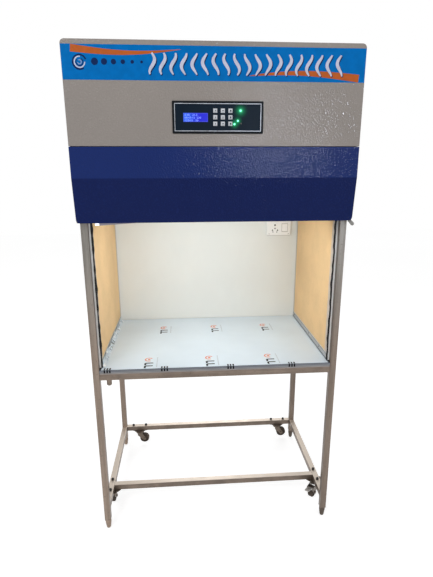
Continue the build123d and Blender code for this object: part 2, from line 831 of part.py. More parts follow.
grille_width = 2 * (chamber_half - grille_side_gap)
grille_back = back_face - 2 * seam
grille_depth = grille_back - front_face - grille_setback
grille_middle = grille_back - grille_depth / 2

with BuildPart() as diffuser_grille:
    with BuildSketch(Plane.XY.offset(leg_top)):
        with Locations((0, grille_middle)):
            Rectangle(grille_width, grille_depth)
    extrude(amount=-grille_height)
    with BuildSketch(Plane.XY.offset(leg_top)):
        with Locations((0, grille_middle)):
            Rectangle(grille_width - 2 * grille_sheet, grille_depth - 2 * grille_sheet)
    extrude(amount=-grille_height + grille_sheet, mode=Mode.SUBTRACT)
    with BuildSketch(Plane.XY.offset(leg_top - grille_height)):
        with Locations((0, grille_middle)):
            with GridLocations(
                grille_width / slot_columns * 0.96,
                grille_depth / slot_rows * 0.96,
                slot_columns,
                slot_rows,
            ):
                Rectangle(slot_length, slot_width)
    extrude(amount=grille_sheet, mode=Mode.SUBTRACT)
finish(diffuser_grille, "diffuser_grille")

prefilter_top = hood_top - hood_sheet - seam

with BuildPart() as pre_filter:
    with BuildSketch(Plane.XY.offset(prefilter_top)):
        Rectangle(prefilter_width, prefilter_depth)
    extrude(amount=-prefilter_height)
    with BuildSketch(Plane.XY.offset(prefilter_top)):
        Rectangle(prefilter_width - filter_frame, prefilter_depth - filter_frame)
    extrude(amount=-filter_recess / 2, mode=Mode.SUBTRACT)
finish(pre_filter, "pre_filter")

# ======== blower ========

scroll_rise = scroll_r + 3 * scroll_step  # of the scroll's top, over the shaft
blower_z = prefilter_top - prefilter_height - scroll_headroom - scroll_rise
deck_top = blower_z - outlet_drop
deck_height = deck_top - hood_sheet
outlet_front = scroll_step + scroll_r + 4 * scroll_step
outlet_back = scroll_step


blower_plane = Plane(origin=(0, blower_y, blower_z), x_dir=(0, 1, 0), z_dir=(1, 0, 0))


def scroll_outline(inset=0.0):
    """The scroll: three quarter arcs that turn about the corners of a square, then the outlet."""
    step = scroll_step
    first = scroll_r - inset
    second = first + 2 * step
    third = second + 2 * step
    mouth = [
        (-step - third, -step),
        (-step - third, -outlet_drop),
        (step - inset, -outlet_drop),
        (step - inset, step - first),
    ]
    if inset:
        mouth.append((step, step - first))
    with BuildSketch(blower_plane) as outline:
        with BuildLine():
            CenterArc((step, step), first, -90, 90)
            CenterArc((-step, step), second, 0, 90)
            CenterArc((-step, -step), third, 90, 90)
            Polyline(*mouth)
        make_face()
    return outline.sketch


with BuildPart() as blower_housing:
    extrude(scroll_outline(), amount=scroll_width / 2, both=True)
    extrude(scroll_outline(scroll_wall), amount=scroll_width / 2 - scroll_wall, both=True, mode=Mode.SUBTRACT)
    with BuildSketch(blower_plane):
        Circle(inlet_r)
    extrude(amount=scroll_width / 2, both=True, mode=Mode.SUBTRACT)
finish(blower_housing, "blower_housing")

with BuildPart() as blower_deck:
    deck_middle = (deck_front + tray_back) / 2
    deck_depth = tray_back - deck_front
    with BuildSketch(Plane.XY.offset(deck_top)):
        with Locations((0, deck_middle)):
            Rectangle(2 * tray_half, deck_depth)
    extrude(amount=-deck_flange)
    with BuildSketch(Plane.XY.offset(deck_height)):
        with Locations((0, deck_middle)):
            Rectangle(2 * (tray_half - hood_sheet), deck_depth - 2 * hood_sheet)
    extrude(amount=-deck_flange, mode=Mode.SUBTRACT)
    outlet_depth = outlet_front + outlet_back - 2 * scroll_wall
    with BuildSketch(Plane.XY.offset(deck_height)):
        with Locations((0, blower_y + (outlet_back - outlet_front) / 2)):
            Rectangle(scroll_width - 2 * scroll_wall, outlet_depth)
    extrude(amount=hood_sheet, mode=Mode.SUBTRACT)
finish(blower_deck, "blower_deck")

with BuildPart() as blower_impeller:
    with BuildSketch(blower_plane):
        Circle(impeller_r - 1)
    extrude(amount=blade_thick, both=True)
    with BuildSketch(blower_plane):
        with PolarLocations(0, blade_count):
            with BuildLine():
                root = (blade_root_r, 0)
                lean = radians(blade_lean)
                tip = (impeller_r * cos(lean), impeller_r * sin(lean))
                RadiusArc(root, tip, impeller_r - blade_root_r)
            trace(line_width=blade_thick)
    extrude(amount=impeller_width / 2, both=True)
    for side in (-1, 1):
        with BuildSketch(blower_plane.offset(side * (impeller_width / 2 - 1))):
            Circle(impeller_r)
            Circle(impeller_r - 5, mode=Mode.SUBTRACT)
        extrude(amount=1, both=True)
    with BuildSketch(blower_plane):
        Circle(shaft_r * 2.4)
    extrude(amount=hub_width / 2, both=True)
    with BuildSketch(blower_plane):
        Circle(shaft_r)
    extrude(amount=scroll_width / 2 + motor_length / 3)
finish(blower_impeller, "blower_impeller")

motor_start = scroll_width / 2 + 6
motor_foot_top = blower_z - motor_r * 0.5

with BuildPart() as blower_motor:
    with BuildSketch(blower_plane.offset(motor_start)):
        Circle(motor_r)
    extrude(amount=motor_length)
    chamfer(blower_motor.edges().filter_by(GeomType.CIRCLE), motor_r / 10)
    with BuildSketch(Plane(origin=(motor_start + motor_length / 2, blower_y, deck_top))):
        Rectangle(motor_length * 0.6, motor_r * 1.2)
    extrude(amount=motor_foot_top - deck_top)
    with BuildSketch(Plane(origin=(motor_start + motor_length / 2, blower_y, deck_top))):
        Rectangle(motor_length * 0.9, motor_r * 2.4)
    extrude(amount=motor_r / 10)
    with BuildSketch(blower_plane.offset(motor_start)):
        Circle(shaft_r + running)
    extrude(amount=motor_length / 2, mode=Mode.SUBTRACT)
finish(blower_motor, "blower_motor")

# ======== control unit ========

bezel_face = hood_front - bezel_proud
opening_width = bezel_width - 2 * bezel_rim
opening_height = bezel_height - 2 * bezel_rim
fascia_back = bezel_face + 1 + fascia_thick

with BuildPart() as control_bezel:
    with BuildSketch(facing_front(panel_x, hood_front, panel_z)):
        RectangleRounded(bezel_width, bezel_height, 3)
    extrude(amount=bezel_proud)
    fillet(control_bezel.faces().sort_by(Axis.Y)[0].edges(), bezel_proud / 3)
    with BuildSketch(facing_front(panel_x, hood_front, panel_z)):
        Rectangle(bezel_width - bezel_rim, bezel_height - bezel_rim)
    extrude(amount=-tub_depth)
    with BuildSketch(facing_front(panel_x, bezel_face, panel_z)):
        Rectangle(opening_width, opening_height)
    extrude(amount=-tub_depth - bezel_proud + tub_wall, mode=Mode.SUBTRACT)
finish(control_bezel, "control_bezel")

key_places = [
    (panel_x + key_x + column * key_pitch_x, panel_z + key_z - row * key_pitch_z)
    for row in range(3)
    for column in range(3)
]

with BuildPart() as control_fascia:
    with BuildSketch(facing_front(panel_x, fascia_back, panel_z)):
        Rectangle(opening_width - 2 * fascia_fit, opening_height - 2 * fascia_fit)
    extrude(amount=fascia_thick)
    with BuildSketch(facing_front(panel_x + display_x, fascia_back, panel_z + display_z)):
        Rectangle(display_width + 2 * fascia_fit, display_height + 2 * fascia_fit)
    extrude(amount=fascia_thick, mode=Mode.SUBTRACT)
    for x, z in key_places:
        with BuildSketch(facing_front(x, fascia_back, z)):
            Rectangle(key_size + 2 * key_gap, key_size + 2 * key_gap)
        extrude(amount=fascia_thick, mode=Mode.SUBTRACT)
    for across, up in lamp_points:
        with BuildSketch(facing_front(panel_x + across, fascia_back, panel_z + up)):
            Circle(lamp_dome_r + key_gap)
        extrude(amount=fascia_thick, mode=Mode.SUBTRACT)
finish(control_fascia, "control_fascia")

with BuildPart() as display_window:
    with BuildSketch(facing_front(panel_x + display_x, fascia_back, panel_z + display_z)):
        Rectangle(display_width, display_height)
    extrude(amount=fascia_thick * 0.8)
finish(display_window, "display_window")

for number, (x, z) in enumerate(key_places, start=1):
    with BuildPart() as key:
        with BuildSketch(facing_front(x, fascia_back + key_gap, z)):
            Rectangle(key_size, key_size)
        extrude(amount=fascia_thick + key_gap + key_proud)
        fillet(key.faces().sort_by(Axis.Y)[0].edges(), key_proud / 2)
        with BuildSketch(facing_front(x, fascia_back + key_gap, z)):
            Rectangle(key_size + 5 * key_gap, key_size + 5 * key_gap)
        extrude(amount=-key_travel)
    finish(key, f"key_{number}")

with BuildPart() as indicator_lamps:
    for across, up in lamp_points:
        lamp_at = (panel_x + across, fascia_back, panel_z + up)
        with BuildSketch(facing_front(*lamp_at)):
            Circle(lamp_dome_r)
        extrude(amount=fascia_thick)
        with BuildSketch(facing_front(lamp_at[0], fascia_back - fascia_thick, lamp_at[2])):
            Circle(lamp_dome_r)
        extrude(amount=lamp_dome_r / 3, taper=40)
finish(indicator_lamps, "indicator_lamps")

# ======== LED batten ========

batten_turn = atan2(batten_rise, batten_length)
batten_x_dir = (cos(batten_turn), 0, sin(batten_turn))
strap_back = tray_front - seam
strap_top = leg_top + strap_rise
batten_left = batten_end_gap - chamber_half
batten_corner = Vector(batten_left, strap_back - strap_thick, ceiling - batten_drop)
batten_plane = Plane(origin=batten_corner, x_dir=batten_x_dir, z_dir=(0, -1, 0))
housing_base = diffuser_height + seam
shield_length = batten_length - batten_lit_end

with BuildPart() as lamp_batten:
    with BuildSketch(batten_plane):
        with Locations((batten_length / 2, housing_base + batten_height / 2)):
            Rectangle(batten_length, batten_height)
    extrude(amount=batten_depth)
    with BuildSketch(batten_plane.offset(batten_depth)):
        with Locations((batten_length - shield_length / 2, (housing_base + batten_height) / 2)):
            Rectangle(shield_length, housing_base + batten_height)
    extrude(amount=batten_shield)
    for offset in strap_offsets:
        strap_x = batten_left + offset
        strap_bottom = batten_corner.Z + offset * sin(batten_turn) + housing_base + 4
        with BuildSketch(facing_front(strap_x, strap_back, (strap_bottom + strap_top) / 2)):
            Rectangle(strap_width, strap_top - strap_bottom)
        extrude(amount=strap_thick)
        with BuildSketch(facing_front(strap_x, strap_back, strap_top - strap_width / 2)):
            Circle(2.5)
        extrude(amount=strap_thick, mode=Mode.SUBTRACT)
finish(lamp_batten, "lamp_batten")

with BuildPart() as lamp_diffuser:
    with BuildSketch(batten_plane):
        with Locations((batten_length / 2, diffuser_height / 2)):
            Rectangle(batten_length, diffuser_height)
    extrude(amount=batten_depth - seam)
    fillet(lamp_diffuser.edges().filter_by(GeomType.LINE).group_by(SortBy.LENGTH)[-1].sort_by(Axis.Z)[0:2], 5)
finish(lamp_diffuser, "lamp_diffuser")
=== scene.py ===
"""Finishes, printed films, screws and stage of a laminar flow cabinet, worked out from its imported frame."""

import math

import bpy
import numpy as np
from bpy.props import FloatProperty, FloatVectorProperty, IntProperty, PointerProperty
from mathutils import Euler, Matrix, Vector


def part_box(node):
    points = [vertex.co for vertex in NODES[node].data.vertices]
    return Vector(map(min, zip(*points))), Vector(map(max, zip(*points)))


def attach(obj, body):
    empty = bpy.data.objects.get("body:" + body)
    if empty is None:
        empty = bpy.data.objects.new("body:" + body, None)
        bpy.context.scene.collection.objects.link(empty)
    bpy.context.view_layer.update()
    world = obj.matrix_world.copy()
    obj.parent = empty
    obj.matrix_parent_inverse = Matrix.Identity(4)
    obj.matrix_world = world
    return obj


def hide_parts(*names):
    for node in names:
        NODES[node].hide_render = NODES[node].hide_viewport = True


bl_info = {
    "name": "Laminar Flow Cabinet",
    "version": (1, 0, 0),
    "blender": (4, 5, 0),
    "location": "3D View > Sidebar > Cabinet",
    "description": "Dresses a laminar flow cabinet's frame with its paints, films, screws and prints",
    "category": "Object",
}

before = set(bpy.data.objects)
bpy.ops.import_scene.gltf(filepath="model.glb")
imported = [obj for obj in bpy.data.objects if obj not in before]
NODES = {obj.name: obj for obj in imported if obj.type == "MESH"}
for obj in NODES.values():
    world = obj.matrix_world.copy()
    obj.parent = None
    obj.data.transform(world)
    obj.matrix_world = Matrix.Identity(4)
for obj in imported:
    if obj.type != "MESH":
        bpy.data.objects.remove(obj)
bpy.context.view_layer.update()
MM = 0.001

# Directions, and how patterns are stretched: a small number draws a pattern out that way
FLAT = (0, 1, 0)
FRONT = (0, -1, 0)
EVEN = (1, 1, 1)
UP_TUBE = (1, 1, 0.04)
ALONG_RAILS = (0.05, 0.05, 1)
ACROSS = (0.05, 1, 1)

# Heights, depths and places in metres
LEG_BLEND = (0.75, 1.25)  # heights between which the legs' colour changes
APRON_FOLD = 0.15  # the apron's fold over its lower edge
PAPER_MARGIN = 0.044  # bare sheet ahead of the masking paper
SKIRTING = 0.0285  # bare steel at the foot of each side wall, then the lines on it
SKIRTING_HIGHLIGHT = 0.0262
SKIRTING_CREASE = 0.0205
SKIRTING_FOOT = 0.0015
CHANNEL_SCREWS = (0.10, 0.56, 0.92)  # shares of the wall's height
SKIRTING_SCREWS = (0.2, 0.48, 0.95)  # shares of the wall's depth
FILM_THICK = 0.0003
# The lit lamps' x, z and how far each one's glow reaches
LIT_LAMPS = ((0.0766, 1.6755, 0.0125), (0.068, 1.6444, 0.008), (0.0568, 1.6341, 0.009))
DARK_LAMP = (0.0745, 1.66)  # the unlit lamp is right of this and below it
MARK_ROWS = (-0.205, 0.165)  # the film's rows of marks, front and back
TICKS = (-0.436, -0.215, 0.045, 0.29)  # groups of ticks along the lip
LIP_LINES = (  # how far under the top, half the width, display colour
    # the first row, dark at the very top, is painted shadow under the film's edge
    (0.0, 0.0012, (64, 66, 70)),
    (0.0078, 0.0007, (78, 76, 74)),
    (0.0098, 0.0008, (172, 172, 174)),
    (0.0128, 0.0008, (86, 82, 78)),
    (0.0152, 0.0009, (176, 168, 160)),
)
DISPLAY_ROWS = ("0.45   21.5", "00:45:12  230", "1234.5   50")


def srgb(red, green, blue):
    """A display colour in 0 to 255 as the linear colour that shaders use."""
    display = np.array([red, green, blue]) / 255
    linear = np.where(display <= 0.04045, display / 12.92, ((display + 0.055) / 1.055) ** 2.4)
    return tuple(float(value) for value in linear)


def shade(tone, factor):
    """A colour made lighter or darker by a factor."""
    return tuple(min(1.0, channel * factor) for channel in tone)


def colour(name, description, *display):
    """A colour property with a default given in 0 to 255."""
    return FloatVectorProperty(
        name=name, description=description, subtype="COLOR", size=3, min=0, max=1, default=srgb(*display)
    )


def length(name, description, millimetres):
    """A length property with a default given in millimetres."""
    return FloatProperty(
        name=name, description=description, subtype="DISTANCE", unit="LENGTH", min=0, default=millimetres * MM
    )


def angle(name, description, radians):
    """An angle property."""
    return FloatProperty(name=name, description=description, subtype="ANGLE", default=radians)


class CabinetColours(bpy.types.PropertyGroup):
    """The colours that the cabinet is sold in."""

    hood_grey: colour("Hood grey", "Textured powder coat of the hood", 153, 146, 141)
    hood_blue: colour("Apron blue", "Textured powder coat of the apron", 24, 45, 108)
    # The apron's lower half is a darker copy of its blue: painted shade.
    apron_shade: colour("Apron's lower half", "The apron's coat below its fold", 12, 30, 86)
    stand_steel: colour("Stand steel", "Satin steel of the tube stand", 150, 134, 121)
    stand_upper: colour("Upper legs", "The legs' steel beside the chamber", 138, 134, 128)
    paper_tan: colour("Masking paper", "Paper left on the side walls", 232, 196, 146)
    sheet_bare: colour("Bare sheet", "Side walls where no paper covers them", 202, 186, 174)
    back_cream: colour("Back panel", "Paint of the chamber's back panel", 231, 233, 229)
    film_pale: colour("Worktop film", "Milky film on the worktop", 208, 220, 229)
    channel_grey: colour("Channels", "Folded channels round the side walls", 194, 184, 176)
    band_blue: colour("Band blue", "Ground of the printed header band", 0, 113, 192)
    band_orange: colour("Band orange", "Sweeps of the printed header band", 192, 98, 46)
    band_pale: colour("Band pale", "Streamlines of the printed header band", 206, 208, 228)
    print_orange: colour("Film orange", "Rings printed on the film", 222, 128, 88)
    print_dark: colour("Film black", "Bars printed on the film", 40, 42, 44)
    fascia_navy: colour("Fascia", "Overlay of the control unit", 17, 31, 44)
    display_blue: colour("Display", "Backlight of the display", 16, 26, 214)
    lamp_green: colour("Lamps", "Lit indicator lamps", 112, 255, 186)
    socket_white: colour("Socket", "Moulded socket plate", 250, 251, 250)
    # Darker and browner than bare zinc: painted shade on the castors under the stand.
    castor_zinc_shaded: colour("Castors", "Zinc of the castors' plates and forks", 112, 101, 91)


class CabinetSizes(bpy.types.PropertyGroup):
    """The sizes of what is printed, stuck or screwed onto the frame."""

    pebble: length("Pebble", "Width of one grain in the powder coat", 5.0)
    band_bottom: length("Band bottom", "Lower edge of the header band above the floor", 1763.5)
    band_top: length("Band top", "Upper edge of the header band above the floor", 1865)
    print_lift: length("Print lift", "How far a print stands off its ground", 0.25)
    screw_radius: length("Screw radius", "Radius of the pan-head screws", 3.6)
    screw_height: length("Screw height", "Height of the pan-head screws", 2.0)
    film_ripple: length("Film ripple", "Height of the slack waves in the film", 0.5)
    fold_height: length("Film fold", "Height of the film turned up along the left wall", 24)


class CabinetStage(bpy.types.PropertyGroup):
    """Where the camera stands and what it takes in."""

    camera_place: FloatVectorProperty(
        name="Camera", description="Where the camera stands", subtype="XYZ", unit="LENGTH",
        default=(-0.1152, -1.8669, 1.4886),
    )
    camera_yaw: angle("Yaw", "Turn to the right of straight on", 0.0729)
    camera_dip: angle("Dip", "How far the camera looks down", 0.2642)
    camera_roll: angle("Roll", "Turn about the line of sight", -0.0033)
    focal: FloatProperty(name="Focal length", description="In pixels of the frame", default=437.5, min=1)
    frame_width: IntProperty(name="Frame width", description="In pixels", default=433, min=1)


# ---- shader expressions


def maths(operation, swapped=False):
    """A method that works out an operation on a wire and another value, or on the two swapped."""

    def method(self, other):
        return self.math(operation, *((other, self) if swapped else (self, other)))

    return method


class Wire:
    """One output in a material's tree. Arithmetic on it adds the Math nodes that work it out."""

    def __init__(self, finish, socket):
        self.finish = finish
        self.socket = socket

    def math(self, operation, *values):
        return self.finish.add("ShaderNodeMath", {"operation": operation}, dict(enumerate(values)))

    __add__ = __radd__ = maths("ADD")
    __mul__ = __rmul__ = maths("MULTIPLY")
    __sub__ = maths("SUBTRACT")
    __rsub__ = maths("SUBTRACT", swapped=True)
    __truediv__ = maths("DIVIDE")
    __pow__ = maths("POWER")
    above = maths("GREATER_THAN")
    least = maths("MINIMUM")
    most = maths("MAXIMUM")

    def size(self):
        return self.math("ABSOLUTE", self)

    def off(self, place):
        """How far it is from a place, either way."""
        return (self - place).size()

    def exponent(self):
        return self.math("EXPONENT", self)

    def folded(self, half):
        """0 to 1 and back, over and over, each way within half a period."""
        return self.math("PINGPONG", self, half) / half

    def eased(self, start, end):
        """0 before start, 1 after end and a smooth step between them."""
        inputs = {"Value": self, "From Min": start, "From Max": end}
        return self.finish.add("ShaderNodeMapRange", {"interpolation_type": "SMOOTHSTEP"}, inputs)


class Finish:
    """A material under construction: its tree, its surface shader and one method that adds a node."""

    def __init__(self, name, **constants):
        self.material = bpy.data.materials.new(name)
        self.material.use_nodes = True
        self.tree = self.material.node_tree
        self.surface = self.tree.nodes["Principled BSDF"]
        self.spot = None
        for socket, value in constants.items():
            self.surface.inputs[socket.replace("_", " ")].default_value = value

    @classmethod
    def on(cls, tree):
        """A builder on a tree that is there already, such as the world's."""
        builder = cls.__new__(cls)
        builder.tree = tree
        return builder

    def add(self, kind, settings=None, inputs=None, output=0):
        """A node of a type with its settings, then the values or links of its sockets, as a Wire."""
        node = self.tree.nodes.new(kind)
        for key, value in (settings or {}).items():
            setattr(node, key, value)
        for key, value in (inputs or {}).items():
            self.put(node.inputs[key], value)
        return Wire(self, node.outputs[output])

    def split(self, kind, inputs, outputs):
        """Several outputs of one new node, as wires."""
        node = self.add(kind, None, inputs).socket.node
        return [Wire(self, node.outputs[output]) for output in outputs]

    def put(self, socket, value):
        if isinstance(value, Wire):
            self.tree.links.new(value.socket, socket)
        elif socket.type == "RGBA" and len(value) == 3:
            socket.default_value = (*value, 1)
        else:
            socket.default_value = value

    def feed(self, tone, rough=None, height=None, rise=0.0, **others):
        """Feeds colour, roughness, a height of 0 to 1 as a bump of a rise in metres, and other sockets."""
        inputs = {"Base_Color": tone, **others}
        if rough is not None:
            inputs["Roughness"] = rough
        if height is not None:
            inputs["Normal"] = self.add("ShaderNodeBump", None, {"Height": height, "Distance": rise})
        for key, value in inputs.items():
            self.put(self.surface.inputs[key.replace("_", " ")], value)
        return self.material

    def place(self, stretch=EVEN):
        """The point on the object, in metres, scaled for a pattern."""
        if self.spot is None:
            self.spot = self.add("ShaderNodeTexCoord", output="Object")
        return self.add("ShaderNodeMapping", None, {"Vector": self.spot, "Scale": stretch})

    def axes(self):
        """The point's x, y and z."""
        return self.split("ShaderNodeSeparateXYZ", {"Vector": self.place()}, "XYZ")

    def facing(self):
        """How far the surface faces right, back and up, each from -1 to 1."""
        normal = self.add("ShaderNodeTexCoord", output="Normal")
        return self.split("ShaderNodeSeparateXYZ", {"Vector": normal}, "XYZ")

    def noise(self, grain, detail=2.0, stretch=EVEN, rough=0.5):
        """Soft noise with features of a given size in metres."""
        values = {"Vector": self.place(stretch), "Scale": 1 / grain, "Detail": detail, "Roughness": rough}
        return self.add("ShaderNodeTexNoise", None, values)

    def cells(self, grain):
        """Distance to scattered points about a grain apart."""
        return self.add("ShaderNodeTexVoronoi", None, {"Vector": self.place(), "Scale": 1 / grain})

    def mix(self, amount, first, second):
        """A colour between two, by an amount from 0 to 1."""
        return self.add("ShaderNodeMix", {"data_type": "RGBA"}, {0: amount, 6: first, 7: second}, output=2)

    def varied(self, amount, tone, low, high):
        """A tone that goes from one factor of itself to another, by an amount from 0 to 1."""
        return self.mix(amount, shade(tone, low), shade(tone, high))

    def times(self, first, second):
        """Two colours multiplied channel by channel."""
        settings = {"data_type": "RGBA", "blend_type": "MULTIPLY"}
        return self.add("ShaderNodeMix", settings, {0: 1.0, 6: first, 7: second}, output=2)


# ---- finishes


def powder_coat(name, tone, pebble, gloss, below=None, fold=0.0):
    """Sprayed texture enamel: round grains of one size with finer dust and a painted highlight on their
    tops; below a fold it may take a darker tone, a painted shade.
    """
    coat = Finish(name, Specular_IOR_Level=gloss)
    grain = coat.noise(pebble, 0.0)
    dust = coat.noise(pebble * 0.35, 1.0)
    cloud = coat.noise(0.35).eased(0.3, 0.7)
    height = grain * 0.9 + dust * 0.1
    body = coat.varied(cloud, tone, 0.97, 1.03)
    # Below the fold the coat takes a darker copy of its colour: painted shade.
    if below:
        deep = coat.varied(cloud, below, 0.97, 1.03)
        body = coat.mix(coat.axes()[2].eased(fold - 0.002, fold + 0.002), deep, body)
    # The grain tops are lightened: a painted highlight.
    grain_highlight = coat.mix(height.eased(0.5, 0.75) * 0.15, body, shade(tone, 1.35))
    return coat.feed(grain_highlight, dust * 0.08 + 0.06, height, pebble * 0.2)


def satin_steel(
    name, tone, metallic=0.55, roughness=0.36, stretch=UP_TUBE,
    upper=None, levels=LEG_BLEND, dust=0.0, front_shade=0.0,
):
    """Drawn tube: long lines and slow sheens along it, and painted shade on its sides. It may change colour
    between two levels, grow paler on what faces up with dust and a painted highlight, and take painted
    shade in patches on what faces front."""
    steel = Finish(name, Metallic=metallic)
    lines = steel.noise(0.0016, 2.0, stretch)
    sheen = steel.noise(0.013, 2.0, stretch)
    smear = steel.noise(0.05, 3.0, rough=0.6)
    spots = steel.noise(0.009).eased(0.62, 0.75)
    sideways, back, up = steel.facing()
    if upper:
        tone = steel.mix(steel.axes()[2].eased(*levels), tone, upper)
    grey = steel.mix(lines.eased(0.3, 0.7), (0.9, 0.9, 0.9), (1.06, 1.06, 1.06))
    broad = steel.mix(sheen.eased(0.35, 0.65), (0.86, 0.85, 0.84), (1.1, 1.1, 1.1))
    # Faces turned sideways darken towards brown: painted shade; the spots are wear.
    worn = spots * 0.5 + sideways.size().eased(0.5, 0.9) * 0.4
    body = steel.mix(worn, steel.times(steel.times(tone, grey), broad), (0.11, 0.085, 0.07))
    # Faces turned to the front are darkened in patches: painted shade.
    if front_shade:
        shade_patches = steel.noise(0.07, 3.0, rough=0.6).eased(0.35, 0.65) * 0.5 + 0.5
        body = steel.mix((back * -1.0).eased(0.5, 0.9) * shade_patches * front_shade, body, (0.09, 0.07, 0.055))
    # Faces turned up grow paler: dust and a painted highlight.
    if dust:
        body = steel.mix(up.eased(0.5, 0.9) * dust, body, srgb(224, 212, 198))
    return steel.feed(body, smear * 0.3 + (roughness - 0.12), lines * 0.6 + smear * 0.4, 0.0002)


def zinc_plate(name, tone, metallic=0.8, roughness=0.35):
    """Bright plating on pressed parts: the tube's steel with marks that run no one way."""
    return satin_steel(name, tone, metallic, roughness, EVEN)


def masking_paper(name, tone, bare, edge):
    """Kraft paper on a clear sheet, cut back from its front: fibres, blotches, a torn pale edge."""
    paper = Finish(name, Specular_IOR_Level=0.2)
    fibre = paper.noise(0.004, 4.0, (1, 1, 0.3), 0.7)
    blotch = paper.noise(0.12, 3.0, rough=0.6)
    tear = paper.noise(0.03, 3.0, rough=0.6)
    back = paper.axes()[1] + tear * 0.006 - (edge + 0.003)
    body = paper.varied(blotch.eased(0.3, 0.7), tone, 0.94, 1.04)
    fibred = paper.mix(fibre.eased(0.52, 0.75), body, shade(tone, 0.9))
    lifted = paper.mix((1 - back.size().eased(0.0005, 0.003)) * 0.6, fibred, shade(tone, 1.25))
    plain = paper.varied(fibre.eased(0.4, 0.7), bare, 0.96, 1.04)
    covered = back.above(0.0)
    rough = fibre * 0.2 + covered * 0.2 + 0.3
    return paper.feed(paper.mix(covered, plain, lifted), rough, fibre * 0.5 + covered * 0.5, 0.0003)


def smooth_paint(name, tone, roughness=0.45):
    """Sprayed gloss paint on sheet: slow waves, faint wiped patches and a little dust."""
    paint = Finish(name, Specular_IOR_Level=0.3)
    wave = paint.noise(0.09)
    wipe = paint.noise(0.14, 3.0, (1, 1, 0.6), 0.6)
    dust = paint.noise(0.0018, 1.0)
    body = paint.varied(wipe.eased(0.35, 0.7), tone, 0.988, 1.012)
    return paint.feed(body, wipe * 0.16 + (roughness - 0.08), wave * 0.7 + dust * 0.3, 0.0004)


def milky_film(name, tone):
    """Protective film: milky, with trapped air, drag lines and a soft gloss."""
    film = Finish(name, Specular_IOR_Level=0.35)
    bubbles = film.cells(0.022).eased(0.02, 0.12)
    drag = film.noise(0.05, 3.0, (0.3, 1, 1), 0.55)
    cloud = film.noise(0.2, 3.0)
    body = film.varied(cloud.eased(0.3, 0.72), tone, 0.97, 1.03)
    worn = film.mix((1 - bubbles) * 0.3, body, shade(tone, 1.08))
    return film.feed(worn, drag * 0.2 + 0.25, drag * 0.8 + bubbles * 0.2, 0.0004)


def moulded(name, tone, roughness=0.5, gloss=0.3):
    """Moulded plastic: a fine spark-eroded grain, slightly uneven in colour."""
    plastic = Finish(name, Specular_IOR_Level=gloss)
    fine = plastic.noise(0.0012, 1.0)
    body = plastic.varied(plastic.noise(0.03).eased(0.3, 0.7), tone, 0.93, 1.06)
    return plastic.feed(body, fine * 0.15 + (roughness - 0.07), fine, 0.00015)


def tread_rubber(name, tone):
    """Dusty rubber: fine pits, and pale dust in patches."""
    rubber = Finish(name, Specular_IOR_Level=0.3)
    pits = rubber.noise(0.0025, 3.0, rough=0.7)
    body = rubber.mix(rubber.noise(0.014, 3.0).eased(0.45, 0.75), tone, shade(tone, 2.4))
    return rubber.feed(body, pits * 0.2 + 0.65, pits, 0.0004)


def printed(name, tone, roughness=0.42):
    """Solid ink: a fine screen pattern and slight wear."""
    ink = Finish(name, Specular_IOR_Level=0.03)
    body = ink.varied(ink.noise(0.025, 3.0).eased(0.3, 0.75), tone, 0.94, 1.07)
    return ink.feed(body, ink.noise(0.0014, 1.0) * 0.14 + (roughness - 0.07))


def pleated_media(name, tone):
    """Filter paper in deep pleats, with painted shade in the valleys that repeat every few millimetres across
    it.
    """
    media = Finish(name, Specular_IOR_Level=0.2)
    pleat = media.axes()[0].folded(0.0025)
    fuzz = media.noise(0.003, 3.0)
    # The pleats' valleys are darkened: painted shade.
    dusted = media.mix(fuzz.eased(0.55, 0.8), media.varied(pleat, tone, 0.45, 1.0), shade(tone, 0.8))
    return media.feed(dusted, fuzz * 0.15 + 0.8, pleat, 0.0015)


def frosted_glow(name, tone, strength):
    """A frosted strip light with a faint row of sources behind."""
    glow = Finish(name, Roughness=0.5, Emission_Strength=strength)
    lit = glow.varied(glow.axes()[0].folded(0.008) * 0.25, tone, 1.0, 0.8)
    return glow.feed(lit, Emission_Color=lit)


# ---- mesh building


def grid_faces(rows, columns, wrap=False):
    """Index quads of points laid row by row; wrap joins the last column to the first."""
    row = np.arange(rows - 1)[:, None] * columns
    column = np.arange(columns if wrap else columns - 1)[None, :]
    after = (column + 1) % columns
    quads = np.stack([row + column, row + after, row + columns + after, row + columns + column], -1)
    return quads.reshape(-1, 4).tolist()


def placed(name, data):
    """An object of a mesh, a light or a camera, put in the scene."""
    made = bpy.data.objects.new(name, data)
    bpy.context.scene.collection.objects.link(made)
    return made


def mesh_of(name, shells, material):
    """One mesh from shells of (points, faces)."""
    points = []
    faces = []
    start = 0
    for shell_points, shell_faces in shells:
        points.append(np.asarray(shell_points, float).reshape(-1, 3))
        faces.extend([index + start for index in face] for face in shell_faces)
        start += len(points[-1])
    mesh = bpy.data.meshes.new(name)
    mesh.from_pydata(np.concatenate(points).tolist(), [], faces)
    mesh.materials.append(material)
    mesh.validate()
    return mesh


def piece(name, shells, material, body="stand", smooth=False):
    """A part of the cabinet made of shells, riding on a body."""
    mesh = mesh_of(name, shells, material)
    if smooth:
        mesh.shade_smooth()
    made = placed(name, mesh)
    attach(made, body)
    return made


def slab(outline, centre, thick, up=(0, 0, 1)):
    """A flat plate: an outline across and along up, carried square to both by its thickness."""
    across = np.array((1.0, 0.0, 0.0))
    up = np.array(up, float)
    flat = np.asarray(centre, float) + outline[:, :1] * across + outline[:, 1:] * up
    count = len(outline)
    turn = np.arange(count)
    after = (turn + 1) % count
    sides = np.stack([turn, after, after + count, turn + count], -1).tolist()
    faces = [list(range(count))[::-1], list(range(count, 2 * count)), *sides]
    return np.concatenate([flat, flat + np.cross(across, up) * thick]), faces


